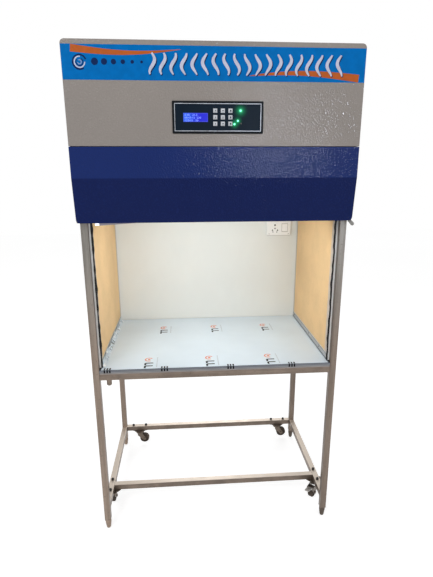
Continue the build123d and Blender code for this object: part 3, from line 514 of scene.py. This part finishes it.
def oval(width, height, count=24, turn=0.0):
    """Points round an ellipse, anticlockwise, turned by an angle."""
    angles = np.linspace(0, 2 * np.pi, count, endpoint=False)
    x = width / 2 * np.cos(angles)
    y = height / 2 * np.sin(angles)
    return np.stack([x * np.cos(turn) - y * np.sin(turn), x * np.sin(turn) + y * np.cos(turn)], -1)


def rectangle(width, height):
    """Corners of a rectangle about its middle, anticlockwise."""
    return np.array([(-1, -1), (1, -1), (1, 1), (-1, 1)]) * (width / 2, height / 2)


def open_ring(width, inner, start, sweep):
    """The outline of part of a flat ring: an arc along its rim, then back along the arc scaled inwards."""
    angles = start + np.linspace(0, sweep, 28)
    rim = np.stack([np.cos(angles), np.sin(angles)], -1) * (width / 2)
    return np.concatenate([rim, rim[::-1] * inner])


def stroke(centre_line, widths):
    """The outline of a flowing stroke: a centre line widened to both sides by half its width."""
    run = np.gradient(centre_line, axis=0)
    run /= np.linalg.norm(run, axis=1)[:, None]
    side = np.stack([-run[:, 1], run[:, 0]], -1) * (widths[:, None] / 2)
    return np.concatenate([centre_line - side, (centre_line + side)[::-1]])


def lathe(profile, centre, axis, count=20):
    """A turned shape: a profile of (radius, height) carried round an axis through a centre."""
    axis = Vector(axis).normalized()
    first = np.array(axis.orthogonal().normalized())
    second = np.cross(axis, first)
    radius, height = np.asarray(profile, float).T[:, :, None, None]
    angles = np.linspace(0, 2 * np.pi, count, endpoint=False)[:, None]
    points = centre + height * np.array(axis) + radius * (np.cos(angles) * first + np.sin(angles) * second)
    caps = [list(range(count))[::-1], list(range((len(profile) - 1) * count, len(profile) * count))]
    return points.reshape(-1, 3), grid_faces(len(profile), count, wrap=True) + caps


def pan_head(centre, axis, radius, height):
    """A pan-head screw: a quarter-round dome on a thin flange."""
    dome = np.linspace(0, np.pi / 2, 6)[:-1]
    profile = [(radius, 0), (radius, height * 0.25)]
    profile += [(radius * math.cos(a) * 0.98, height * (0.3 + 0.7 * math.sin(a))) for a in dome]
    return lathe(profile, np.array(centre), axis)


def dress(material, *names):
    """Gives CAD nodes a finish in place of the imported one."""
    for name in names:
        node = NODES[name]
        if not node.material_slots:
            node.data.materials.append(material)
        for slot in node.material_slots:
            slot.material = material


def nodes_of(start):
    """The names of the nodes that begin in one way."""
    return [name for name in NODES if name.startswith(start)]


def corners_of(node):
    """Lowest and highest corner of a node as arrays."""
    low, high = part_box(node)
    return np.array(low), np.array(high)


# ---- operators


class CABINET_OT_stand(bpy.types.Operator):
    """Finish the tube stand, its feet and its castors"""

    bl_idname = "cabinet.stand"
    bl_label = "Stand"

    def execute(self, context):
        tones = context.scene.cabinet_colours
        steel = tones.stand_steel
        # Left and right are lit and shaded copies: the left feet are painted lighter (painted light), the
        # right legs and feet darker (painted shade).
        sides = (
            ("left", "", steel, (184, 162, 144)),
            ("right", "_shaded", shade(steel, 0.72), (104, 92, 82)),
        )
        for side, tail, leg, foot in sides:
            legs = satin_steel("leg_steel" + tail, leg, upper=tones.stand_upper)
            dress(legs, f"leg_front_{side}", f"leg_rear_{side}")
            feet = moulded("foot_plastic" + tail, srgb(*foot), 0.55)
            dress(feet, f"foot_front_{side}", f"foot_rear_{side}")
        dress(satin_steel("base_steel", steel, stretch=ALONG_RAILS, dust=0.7, front_shade=0.6), "base_frame")
        dress(satin_steel("table_steel", steel, stretch=ALONG_RAILS, front_shade=0.5), "table_frame")
        dress(zinc_plate("castor_zinc_shaded", tones.castor_zinc_shaded, 0.85, 0.3), *nodes_of("castor_fork"))
        top = float(corners_of("base_frame")[1][2])
        bolt_heads = {"upper": srgb(44, 42, 40), "levels": (top - 0.002, top - 0.0005)}
        plates = satin_steel("castor_plate_zinc", tones.castor_zinc_shaded, 0.6, 0.35, EVEN, **bolt_heads)
        dress(plates, "castor_plates")
        dress(zinc_plate("pedal_zinc", srgb(206, 204, 200)), *nodes_of("brake_pedal"))
        dress(tread_rubber("wheel_rubber", srgb(74, 64, 56)), *nodes_of("castor_wheel"))
        return {"FINISHED"}


class CABINET_OT_chamber(bpy.types.Operator):
    """Finish the chamber's walls, channels, gaskets and socket, and add their screws"""

    bl_idname = "cabinet.chamber"
    bl_label = "Chamber"

    def execute(self, context):
        tones = context.scene.cabinet_colours
        sizes = context.scene.cabinet_sizes
        edge = float(corners_of("side_frame_left")[0][1]) + PAPER_MARGIN
        paper = masking_paper("kraft_paper", tones.paper_tan, tones.sheet_bare, edge)
        dress(paper, *nodes_of("side_sheet"))
        dress(smooth_paint("back_paint", tones.back_cream), "back_panel")
        dress(self.channel_finish(tones), *nodes_of("side_frame"))
        dress(moulded("gasket_rubber", srgb(18, 17, 17), 0.6), "front_gaskets")
        dress(self.socket_finish(tones), "socket_plate")
        dress(moulded("rocker_plastic", shade(tones.socket_white, 1.1), 0.28), "socket_rocker")
        self.gasket_lips()
        self.wall_screws(sizes)
        self.socket_screws(sizes)
        return {"FINISHED"}

    def gasket_lips(self):
        """A black lip over each gasket, and between it and the leg a near-white strip: a painted highlight
        for the leg's lit inner face. The edges wander by the sum of three sines of the height."""
        low, high = corners_of("front_gaskets")
        face = low[1] - 0.0002
        up = np.linspace(low[2] + 0.004, high[2] - 0.002, 150)
        wander = 0.0011 * np.sin(up * 31) + 0.0008 * np.sin(up * 83 + 1) + 0.0006 * np.sin(up * 171 + 2)
        lips = []
        leg_highlights = []
        for side in (-1, 1):
            leg = side * (high[0] - 0.0003)
            join = leg - side * 0.006 - wander * 0.4
            lips.append(self.strip(join, leg - side * (0.0134 + wander), up, face, 0.0006))
            # The near-white strip beside each leg is a painted highlight.
            leg_highlights.append(self.strip(leg, join, up, face, 0.0009))
        piece("gasket_lips", lips, moulded("lip_rubber", srgb(20, 18, 17), 0.55))
        piece("leg_highlight_strips", leg_highlights, moulded("highlight_white", srgb(252, 251, 248), 0.6))

    def strip(self, first, second, up, face, thick):
        """An upright strip between two edges, facing the front: a rectangle carried up."""
        left = np.minimum(first, second)
        right = np.maximum(first, second)
        around = [(left, face), (right, face), (right, face - thick), (left, face - thick)]
        points = np.stack([np.stack(np.broadcast_arrays(x, y, up), -1) for x, y in around], 1)
        ends = [[3, 2, 1, 0], [(len(up) - 1) * 4 + corner for corner in range(4)]]
        return points, [quad[::-1] for quad in grid_faces(len(up), 4, wrap=True) + ends]

    def channel_finish(self, tones):
        """Pale paint on the channels; the skirting is bare steel with a painted highlight along its top."""
        channel = Finish("channel_finish", Specular_IOR_Level=0.3)
        up = channel.axes()[2] - corners_of("side_frame_left")[0][2]
        steel = 1 - up.above(SKIRTING)
        # A pale line along the skirting's top lip: a painted highlight.
        lip_highlight = up.off(SKIRTING_HIGHLIGHT).eased(0.0008, 0.0024)
        crease = up.off(SKIRTING_CREASE).eased(0.0004, 0.0016) * up.off(SKIRTING_FOOT).eased(0.0006, 0.0018)
        lines = channel.noise(0.002, 2.0, (1, 0.05, 1))
        wipe = channel.noise(0.03, 3.0)
        paint = channel.varied(wipe, tones.channel_grey, 0.95, 1.06)
        metal = channel.mix(lines * 0.5 + wipe * 0.5, srgb(150, 152, 155), srgb(214, 215, 216))
        lined = channel.mix(crease, srgb(70, 68, 66), channel.mix(lip_highlight, srgb(212, 210, 206), metal))
        tone = channel.mix(steel, paint, lined)
        return channel.feed(tone, lines * 0.15 + 0.32, lines, 0.00015, Metallic=steel * 0.35)

    def socket_finish(self, tones):
        """Gloss white: painted shade in the pin holes, a seam round the rocker, painted shadow at two edges.
        """
        low, high = corners_of("socket_plate")
        first, last = corners_of("socket_rocker")
        middle = (low + high) / 2
        centre, half = (first + last) / 2, (last - first) / 2
        plate = Finish("socket_plastic", Specular_IOR_Level=0.4)
        x, y, z = plate.axes()
        inner = (1 - x.off(middle[0]).above(0.055)) * (1 - z.off(middle[2]).above(0.038))
        # The insides of the pin holes are near-black: painted shade.
        deep = y.above(low[1] + 0.0012) * inner
        outside = (x.off(centre[0]) - half[0]).most(z.off(centre[2]) - half[2])
        seam = 1 - outside.off(0.0008).eased(0.0008, 0.0022)
        # Darker along the plate's lower edge and, fainter, its right edge: painted shadow.
        edge_shadow = (1 - (z - low[2]).eased(0.0006, 0.0034)).most((x - high[0]).eased(-0.0028, -0.0004) * 0.6)
        fine = plate.noise(0.0012, 1.0)
        white = plate.varied(plate.noise(0.03), tones.socket_white, 0.97, 1.03)
        marked = plate.mix(seam.most(edge_shadow) * 0.7, white, srgb(128, 124, 116))
        return plate.feed(plate.mix(deep, marked, srgb(26, 26, 28)), fine * 0.12 + 0.24, fine, 0.0001)

    def wall_screws(self, sizes):
        """Pan heads through the channels and the skirting, facing into the chamber."""
        low, high = corners_of("side_frame_right")
        places = [(low[1] + 0.012, low[2] + up * (high[2] - low[2])) for up in CHANNEL_SCREWS]
        places += [(low[1] + along * (high[1] - low[1]), low[2] + 0.014) for along in SKIRTING_SCREWS]
        heads = [
            pan_head((side * low[0], *place), (-side, 0, 0), sizes.screw_radius, sizes.screw_height)
            for side in (-1, 1)
            for place in places
        ]
        made = piece("wall_screws", heads, zinc_plate("screw_zinc", srgb(120, 116, 110)), smooth=True)

    def socket_screws(self, sizes):
        """The plate's two fixing screws, in its lower corners."""
        low, high = corners_of("socket_plate")
        heads = [
            pan_head((x, low[1], low[2] + 0.0085), FRONT, sizes.screw_radius * 0.55, sizes.screw_height * 0.5)
            for x in (low[0] + 0.012, high[0] - 0.012)
        ]
        finish = zinc_plate("socket_screw", srgb(150, 148, 142), roughness=0.3)
        piece("socket_screws", heads, finish, smooth=True)


class CABINET_OT_worktop(bpy.types.Operator):
    """Lay the printed film on the worktop, up to its front lip and up the left wall"""

    bl_idname = "cabinet.worktop"
    bl_label = "Worktop and film"

    def execute(self, context):
        tones = context.scene.cabinet_colours
        sizes = context.scene.cabinet_sizes
        dress(self.lip_finish(), "worktop")
        self.film_sheet(sizes, milky_film("worktop_film_finish", tones.film_pale))
        self.film_fold(sizes, self.fold_finish(tones))
        self.prints(tones, sizes)
        return {"FINISHED"}

    def lip_finish(self):
        """Blue-grey steel whose front lip has a dark line under the film's edge (a painted shadow), bright
        rolled lines and seams.
        """
        top = float(corners_of("worktop")[1][2])
        lip = Finish("worktop_steel", Metallic=0.4, Roughness=0.4)
        down = top - lip.axes()[2]
        lines = lip.noise(0.002, 2.0, ACROSS)
        cloud = lip.noise(0.05, 3.0)
        body = lip.mix(lines * 0.5 + cloud * 0.5, srgb(98, 104, 114), srgb(131, 134, 141))
        for place, half, display in LIP_LINES:
            line = 1 - down.off(place).eased(half * 0.7, half * 1.6)
            body = lip.mix(line * (cloud * 0.6 + 0.6).least(1.0), body, srgb(*display))
        return lip.feed(body, height=lines, rise=0.0002)

    def film(self, name, points, finish, offset):
        """A sheet of film over a grid of points, thickened to one side."""
        made = piece(name, [(points, grid_faces(*points.shape[:2]))], finish, smooth=True)
        wall = made.modifiers.new("thickness", "SOLIDIFY")
        wall.thickness = FILM_THICK
        wall.offset = offset
        return made

    def film_sheet(self, sizes, finish):
        """From the back wall to the lip's rounding. Its height is the ripple times two slow waves across
        each other, growing towards the left wall and fading out at the front."""
        low, high = corners_of("worktop_film")
        front = corners_of("worktop")[0][1] + 0.0015
        x, y = np.meshgrid(np.linspace(low[0], high[0], 160), np.linspace(high[1], front, 110))
        slack = 1 + 1.6 * np.exp(-(x + 0.45) / 0.08)
        wave = np.sin(23 * x + 9 * y) * np.sin(17 * y - 6 * x) * 0.5 + 0.5
        fade = np.clip((y - front) / 0.03, 0, 1)
        z = high[2] + sizes.film_ripple * slack * wave * fade
        made = self.film("film_sheet", np.stack([x, y, z], -1), finish, 1)
        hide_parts("worktop_film")

    def fold_finish(self, tones):
        """The film where it is creased: white stress lines, and broken dark print along its upper edge."""
        fold = Finish("creased_film", Specular_IOR_Level=0.35)
        crease = fold.noise(0.012, 3.0, (1, 0.25, 1), 0.6)
        print_run = fold.noise(0.1, 1.0, (0, 1, 0)).above(0.5)
        print_dots = fold.noise(0.0062, 2.0, (0.4, 1, 0.4)).above(0.55)
        cloud = fold.noise(0.03, 3.0)
        body = fold.varied(cloud, tones.film_pale, 0.72, 1.0)
        stressed = fold.mix(crease.eased(0.52, 0.62), body, srgb(250, 251, 252))
        inked = fold.mix(print_run * print_dots * 0.85, stressed, srgb(48, 42, 40))
        return fold.feed(inked, cloud * 0.2 + 0.2, crease, 0.0012)

    def film_fold(self, sizes, finish):
        """Loose film turned up along the left skirting. It leans on the wall as a square of what is left of
        its turn and rises as a power of it. Its top edge wanders by two sines of the depth."""
        level = corners_of("worktop_film")[1][2]
        low, high = corners_of("side_frame_left")
        y = np.linspace(low[1] + 0.004, high[1] - 0.02, 220)[:, None]
        turn = np.linspace(0, 1, 14)[None, :]
        wander = 0.78 + 0.14 * np.sin(31 * y) + 0.08 * np.sin(83 * y + 1.2)
        bulge = 0.0016 * np.sin(140 * y + 5 * turn) * np.sin(np.pi * turn) + 0.0012 * np.sin(61 * y) * turn
        x = high[0] + 0.0022 + 0.012 * (1 - turn) ** 2 + bulge
        z = level + 0.0008 + sizes.fold_height * turn**1.4 * wander
        self.film("film_fold", np.stack(np.broadcast_arrays(x, y, z), -1), finish, -1)

    def prints(self, tones, sizes):
        """Generic marks on the film: an open ring, a pair of bars and a dotted line, in staggered rows."""
        level = corners_of("worktop_film")[1][2] + sizes.film_ripple * 1.2
        thick = sizes.print_lift * 0.4
        rings = []
        bars = []
        dots = []
        ticks = []

        def lay(shells, outline, x, y):
            shells.append(slab(outline, (x, y, level), thick, FLAT))

        for row, y in enumerate(MARK_ROWS):
            for column in range(3):
                x = -0.27 + column * 0.245 + row * 0.045
                lay(rings, open_ring(0.034, 0.72, 0.6, 4.6), x, y)
                lay(rings, oval(0.011, 0.011, 12), x, y)
                for step in range(2):
                    lay(bars, rectangle(0.03, 0.0075), x + 0.004, y - 0.034 - step * 0.026)
                    lay(bars, rectangle(0.0075, 0.019), x - 0.012, y - 0.043 - step * 0.026)
                for step in range(9):
                    lay(dots, rectangle(0.0035, 0.0055), x + 0.034, y + 0.015 - step * 0.0105)
        low, high = corners_of("worktop")
        for start in TICKS:
            for step in range(3):
                x = start + step * 0.0105
                on_lip = (x, low[1] - 0.0002, high[2] - 0.0062)
                ticks.append(slab(rectangle(0.0058, 0.0118), on_lip, thick))
                lay(ticks, rectangle(0.0058, 0.0155), x, low[1] + 0.009)
        piece("film_rings", rings, printed("film_orange", tones.print_orange))
        piece("film_bars", bars, printed("film_black", tones.print_dark))
        piece("film_dots", dots, printed("film_grey", srgb(168, 172, 176)))
        piece("edge_ticks", ticks, printed("tick_black", srgb(26, 26, 28)))


class CABINET_OT_hood(bpy.types.Operator):
    """Coat the hood's panels and print the header band"""

    bl_idname = "cabinet.hood"
    bl_label = "Hood"

    def execute(self, context):
        tones = context.scene.cabinet_colours
        sizes = context.scene.cabinet_sizes
        grey = powder_coat("grey_coat", tones.hood_grey, sizes.pebble, 0.12)
        dress(grey, "hood_front_panel", "hood_wrap", "hood_top_cover")
        # The apron is darker below its fold: painted shade.
        fold = float(corners_of("hood_apron")[0][2]) + APRON_FOLD
        blue = powder_coat("blue_coat", tones.hood_blue, sizes.pebble, 0.1, tones.apron_shade, fold)
        dress(blue, "hood_apron")
        dress(moulded("catch_plastic", srgb(150, 148, 144), 0.5), "hood_catch")
        dress(moulded("gland_nylon", srgb(28, 28, 29), 0.45), "cable_gland")
        self.band(tones, sizes)
        return {"FINISHED"}

    def band(self, tones, sizes):
        """A blue ground, orange sweeps at two corners, pale streamlines, nested rings and a row of dots."""
        low, high = corners_of("hood_front_panel")
        middle = (sizes.band_bottom + sizes.band_top) / 2
        tall = sizes.band_top - sizes.band_bottom
        half = high[0] - 0.001
        lift = sizes.print_lift

        def layer(outline, step):
            return slab(outline, (0, low[1] - lift * step, middle), lift)

        ground = [layer(rectangle(2 * half, tall), 0)]
        run = np.linspace(0, 1, 40)
        upper = np.stack([-half + 0.03 + 0.34 * run, tall / 2 - 0.011 - 0.012 * np.sin(run * 3.1)], -1)
        lower = np.stack([half - 0.02 - 0.36 * run, -tall / 2 + 0.012 + 0.014 * np.sin(run * 2.8)], -1)
        sweeps = [
            layer(stroke(upper, 0.021 * (1 - run) ** 0.8 + 0.0006), 1),
            layer(stroke(lower, 0.023 * (1 - run) ** 0.7 + 0.0006), 1),
        ]
        pale = []
        dark = []
        fall = np.linspace(0, 1, 30)
        width = 0.0105 * (0.35 + 0.65 * np.sin(np.pi * (fall * 0.92 + 0.06)))
        for number in range(19):
            sway = 0.0085 * np.sin(fall * 5.2 + number * 0.5)
            line = np.stack([-0.205 + number * 0.0335 + sway, 0.029 - 0.062 * fall], -1)
            pale.append(layer(stroke(line, width), 3))
            dark.append(layer(stroke(line + (0.0022, -0.0026), width + 0.0012), 2))
        for number in range(4):
            shape = open_ring(0.046 - number * 0.011, 0.8, 0.4 + number, 4.9) + (-0.428, 0.0)
            (pale if number % 2 else dark).append(layer(shape, 2 + number % 2))
        for number in range(6):
            wide = 0.021 - number * 0.0026
            dark.append(layer(oval(wide, wide) + (-0.382 + 0.029 * number, 0.002), 2))
        piece("band_ground", ground, printed("band_blue_ink", tones.band_blue))
        piece("band_sweeps", sweeps, printed("band_orange_ink", tones.band_orange, 0.36))
        piece("band_shadow", dark, printed("band_shadow_ink", srgb(20, 44, 92)))
        piece("band_streams", pale, printed("band_pale_ink", tones.band_pale, 0.36))


class CABINET_OT_control_unit(bpy.types.Operator):
    """Finish the control unit: rim, fascia, glowing display, key marks and lamps"""

    bl_idname = "cabinet.control_unit"
    bl_label = "Control unit"

    def execute(self, context):
        tones = context.scene.cabinet_colours
        dress(moulded("rim_black", srgb(12, 16, 20), 0.4, gloss=0.08), "control_bezel")
        dress(self.fascia_finish(tones), "control_fascia")
        dress(self.display_finish(tones), "display_window")
        dress(moulded("key_silver", srgb(206, 210, 216), 0.38), *nodes_of("key_"))
        dress(self.lamp_finish(tones), "indicator_lamps")
        self.trim()
        self.digits()
        self.key_marks()
        return {"FINISHED"}

    def fascia_finish(self, tones):
        """Dark overlay that picks up the lamps' green light: a bright core and a deep halo at each."""
        overlay = Finish("fascia_overlay", Specular_IOR_Level=0.04, Emission_Strength=1.0)
        x, _, z = overlay.axes()
        halo = 0.0
        core = 0.0
        for across, up, reach in LIT_LAMPS:
            near = ((x - across) ** 2 + (z - up) ** 2) / reach**2
            halo = (near * -1.0).exponent() + halo
            core = (near * -7.0).exponent() + core
        body = overlay.varied(overlay.noise(0.04, 3.0), tones.fascia_navy, 0.85, 1.2)
        deep = overlay.mix(halo.least(1.0), (0, 0, 0), srgb(0, 138, 78))
        lit = overlay.mix(core.least(1.0), deep, tones.lamp_green)
        return overlay.feed(body, overlay.noise(0.002, 1.0) * 0.12 + 0.3, Emission_Color=lit)

    def display_finish(self, tones):
        """A backlit display: paler at its left end and at its edges, deep blue towards the right."""
        panel = Finish("display_backlight", Roughness=0.3, Specular_IOR_Level=0.15, Emission_Strength=1.0)
        low, high = corners_of("display_window")
        middle = (low + high) / 2
        x, _, z = panel.axes()
        along = (x - low[0]) / (high[0] - low[0])
        up = ((z - middle[2]) / (high[2] - low[2]) * 2).size()
        rim = up.eased(0.72, 1.0).most(((along - 0.5) * 2).size().eased(0.9, 1.0))
        ground = panel.mix(along.eased(0.0, 0.7), srgb(40, 104, 240), tones.display_blue)
        lined = panel.mix(rim * 0.5, ground, srgb(84, 96, 236))
        lit = panel.mix(panel.noise(0.006).eased(0.4, 0.8) * 0.3, lined, srgb(24, 18, 180))
        return panel.feed((0.01, 0.01, 0.03), Emission_Color=lit)

    def lamp_finish(self, tones):
        """Green lamps: all but the lower right one are lit."""
        lamp = Finish("lamp_lens", Roughness=0.2, Emission_Strength=2.6)
        x, _, z = lamp.axes()
        lit = 1 - (x.above(DARK_LAMP[0]) * (1 - z.above(DARK_LAMP[1])))
        tone = lamp.mix(lit, srgb(60, 66, 60), tones.lamp_green)
        return lamp.feed(tone, Emission_Color=lamp.mix(lit, (0, 0, 0), tones.lamp_green))

    def trim(self):
        """A light aluminium line round the fascia: a shallow ridge carried round a rectangle."""
        low, high = corners_of("control_fascia")
        face = corners_of("control_bezel")[0][1]
        middle = (low + high) / 2
        reach = np.array([high[0] - low[0], high[2] - low[2]]) / 2
        profile = np.array([(0.0006, 0.0), (0.0009, 0.0006), (0.0022, 0.0006), (0.0025, 0.0)])
        spread = (reach + profile[:, :1]) * rectangle(2, 2)[:, None, :]
        x, z = middle[0] + spread[..., 0], middle[2] + spread[..., 1]
        points = np.stack(np.broadcast_arrays(x, face - profile[:, 1], z), -1)
        around = np.concatenate([points, points[:1]]).transpose(1, 0, 2)
        finish = zinc_plate("trim_aluminium", srgb(186, 192, 200), 0.4)
        made = piece("bezel_trim", [(around, grid_faces(4, 5))], finish)

    def digits(self):
        """Three rows of pale figures on the display."""
        low, high = corners_of("display_window")
        cells = []
        for row, text in enumerate(DISPLAY_ROWS):
            curve = bpy.data.curves.new(f"display_row_{row}", "FONT")
            curve.body = text
            curve.size = 0.0088
            curve.resolution_u = 2
            letters = bpy.data.objects.new(f"display_row_{row}", curve)
            mesh = bpy.data.meshes.new_from_object(letters)
            bpy.data.objects.remove(letters)
            points = np.empty(len(mesh.vertices) * 3)
            mesh.vertices.foreach_get("co", points)
            upright = points.reshape(-1, 3)[:, [0, 2, 1]] * (1.12, 1, 0.9)
            start = (low[0] + 0.004, low[1] - 0.0001, high[2] - 0.0085 - row * 0.0085)
            cells.append((upright + start, [list(polygon.vertices) for polygon in mesh.polygons]))
        ink = Finish("display_figures", Roughness=0.4, Emission_Strength=1.0)
        tone = ink.mix(ink.noise(0.003, 1.0), srgb(84, 112, 240), srgb(136, 158, 250))
        piece("display_figures", cells, ink.feed(tone, Emission_Color=tone))

    def key_marks(self):
        """A small dark mark on each key, riding on it."""
        ink = printed("key_ink", srgb(52, 56, 66))
        for number in range(1, 10):
            low, high = corners_of(f"key_{number}")
            middle = (low + high) / 2
            centre = (middle[0], low[1] - 0.00005, middle[2])
            turn = np.pi / 2 * (number % 4)
            shapes = [rectangle(0.0052, 0.0052), oval(0.0056, 0.0056, 3, turn), oval(0.0054, 0.0034, 6, turn)]
            outlines = [shapes[number % 3] + (0.0006, 0), rectangle(0.0068, 0.0009) + (0, -0.0044)]
            shells = [slab(outline, centre, 0.0001) for outline in outlines]
            piece(f"key_mark_{number}", shells, ink, body=f"key_{number}")


class CABINET_OT_inside(bpy.types.Operator):
    """Finish the lamp, the filters and the blower inside the hood"""

    bl_idname = "cabinet.inside"
    bl_label = "Lamp, filters and blower"

    def execute(self, context):
        zinc = zinc_plate("galvanised", srgb(172, 174, 174), 0.75, 0.42)
        dress(zinc, "filter_tray", "blower_deck", "blower_housing", "blower_impeller")
        dress(satin_steel("batten_aluminium", srgb(150, 146, 158), 0.5, 0.35, ACROSS), "lamp_batten")
        dress(frosted_glow("diffuser_glow", (0.95, 0.97, 1.0), 1.1), "lamp_diffuser")
        dress(pleated_media("filter_media", srgb(226, 226, 220)), "hepa_filter", "pre_filter")
        dress(smooth_paint("grille_white", srgb(224, 224, 218)), "diffuser_grille")
        dress(smooth_paint("motor_enamel", srgb(58, 66, 74), 0.4), "blower_motor")
        return {"FINISHED"}


class CABINET_OT_stage(bpy.types.Operator):
    """Set the floor, the light and the camera"""

    bl_idname = "cabinet.stage"
    bl_label = "Stage"

    def execute(self, context):
        self.floor()
        self.world(context.scene)
        self.lights()
        self.camera(context.scene)
        context.scene.view_settings.view_transform = "Standard"
        return {"FINISHED"}

    def seen(self, finish):
        """1 for rays from the camera and for reflected and refracted ones, 0 for those that light."""
        kinds = ("Is Camera Ray", "Is Glossy Ray", "Is Transmission Ray")
        camera, glossy, through = finish.split("ShaderNodeLightPath", None, kinds)
        return camera.most(glossy).most(through)

    def floor(self):
        """A wide pale floor that keeps the object's soft shadow."""
        span = np.linspace(-9, 9, 13)
        x, y = np.meshgrid(span, span)
        points = np.stack([x, y, np.zeros_like(x)], -1)
        pale = Finish("floor_pale", Roughness=0.9, Specular_IOR_Level=0.0)
        pale.feed(pale.mix(pale.noise(1.5, 1.0), (0.62, 0.62, 0.62), (0.66, 0.66, 0.66)))
        self.glow_through(pale, 0.68)
        floor = placed("floor", mesh_of("floor", [(points, grid_faces(13, 13))], pale.material))

    def glow_through(self, finish, strength):
        """Adds white light to what the eye and reflections see of a surface, and none to the object."""
        seen = self.seen(finish)
        glow = finish.add("ShaderNodeEmission", None, {"Color": (1, 1, 1), "Strength": seen * strength})
        both = finish.add("ShaderNodeAddShader", None, {0: Wire(finish, finish.surface.outputs[0]), 1: glow})
        finish.tree.links.new(both.socket, finish.tree.nodes["Material Output"].inputs["Surface"])

    def world(self, scene):
        """White to the eye and in reflections, softer as a source of light."""
        scene.world = bpy.data.worlds.new("studio")
        scene.world.use_nodes = True
        sky = Finish.on(scene.world.node_tree)
        background = sky.tree.nodes["Background"]
        sky.put(background.inputs["Color"], (1, 1, 1))
        sky.put(background.inputs["Strength"], self.seen(sky) * 0.52 + 0.48)

    def lights(self):
        """A broad key from the upper left, a fill from the right, a lamp behind, the batten's own light
        and a small lamp that the coat glints in."""
        self.area("key", (-1.5, -2.6, 3.3), (0, 0, 1.2), 1.6, 42)
        self.area("fill", (2.2, -2.2, 1.6), (0, 0, 1.0), 1.4, 11)
        self.area("rear", (0.2, 2.8, 2.0), (0, 0.1, 0.2), 1.6, 18)
        self.area("batten_light", (0, -0.2, 1.33), (0, 0.1, 0.8), 0.56, 3.0, 0.1, (0.93, 0.97, 1))
        glint = self.area("glint", (0.72, -3.0, 1.74), (0.2, -0.35, 1.74), 0.12, 26, 0.6, (0.8, 0.86, 1))
        glint.visible_diffuse = False

    def area(self, name, place, target, size, power, depth=None, tone=(1, 1, 1)):
        """A round lamp, or a long one where a depth is given, that faces a target."""
        light = bpy.data.lights.new(name, "AREA")
        light.color = tone
        light.shape = "RECTANGLE" if depth else "DISK"
        light.size = size
        light.size_y = depth or size
        light.energy = power
        lamp = placed(name, light)
        lamp.location = place
        lamp.rotation_euler = (Vector(target) - Vector(place)).to_track_quat("-Z", "Y").to_euler()
        lamp.visible_camera = False
        return lamp

    def camera(self, scene):
        """A camera that turns and dips from straight on, then rolls about its line of sight."""
        stage = scene.cabinet_stage
        data = bpy.data.cameras.new("camera")
        data.sensor_fit = "HORIZONTAL"
        data.lens = stage.focal / stage.frame_width * data.sensor_width
        data.clip_end = 50
        camera = placed("camera", data)
        camera.location = stage.camera_place
        look = Euler((math.pi / 2 - stage.camera_dip, 0, -stage.camera_yaw)).to_matrix()
        roll = Euler((0, 0, stage.camera_roll)).to_matrix()
        camera.rotation_euler = (look @ roll).to_euler()
        scene.camera = camera


class CABINET_PT_panel(bpy.types.Panel):
    """Lists the cabinet's groups and their settings"""

    bl_label = "Laminar flow cabinet"
    bl_idname = "CABINET_PT_panel"
    bl_space_type = "VIEW_3D"
    bl_region_type = "UI"
    bl_category = "Cabinet"

    def draw(self, context):
        for operator in OPERATORS:
            self.layout.operator(operator.bl_idname)
        for name, group in GROUPS.items():
            column = self.layout.column()
            for key in group.__annotations__:
                column.prop(getattr(context.scene, name), key)


OPERATORS = (
    CABINET_OT_stage,
    CABINET_OT_stand,
    CABINET_OT_chamber,
    CABINET_OT_worktop,
    CABINET_OT_hood,
    CABINET_OT_control_unit,
    CABINET_OT_inside,
)
GROUPS = {"cabinet_colours": CabinetColours, "cabinet_sizes": CabinetSizes, "cabinet_stage": CabinetStage}
CLASSES = (*GROUPS.values(), *OPERATORS, CABINET_PT_panel)


def register():
    for cls in CLASSES:
        bpy.utils.register_class(cls)
    for key, group in GROUPS.items():
        setattr(bpy.types.Scene, key, PointerProperty(type=group))


def unregister():
    for key in GROUPS:
        delattr(bpy.types.Scene, key)
    for cls in reversed(CLASSES):
        bpy.utils.unregister_class(cls)


def main():
    register()
    bpy.ops.cabinet.stage()
    bpy.ops.cabinet.stand()
    bpy.ops.cabinet.chamber()
    bpy.ops.cabinet.worktop()
    bpy.ops.cabinet.hood()
    bpy.ops.cabinet.control_unit()
    bpy.ops.cabinet.inside()


if __name__ == "__main__":
    main()
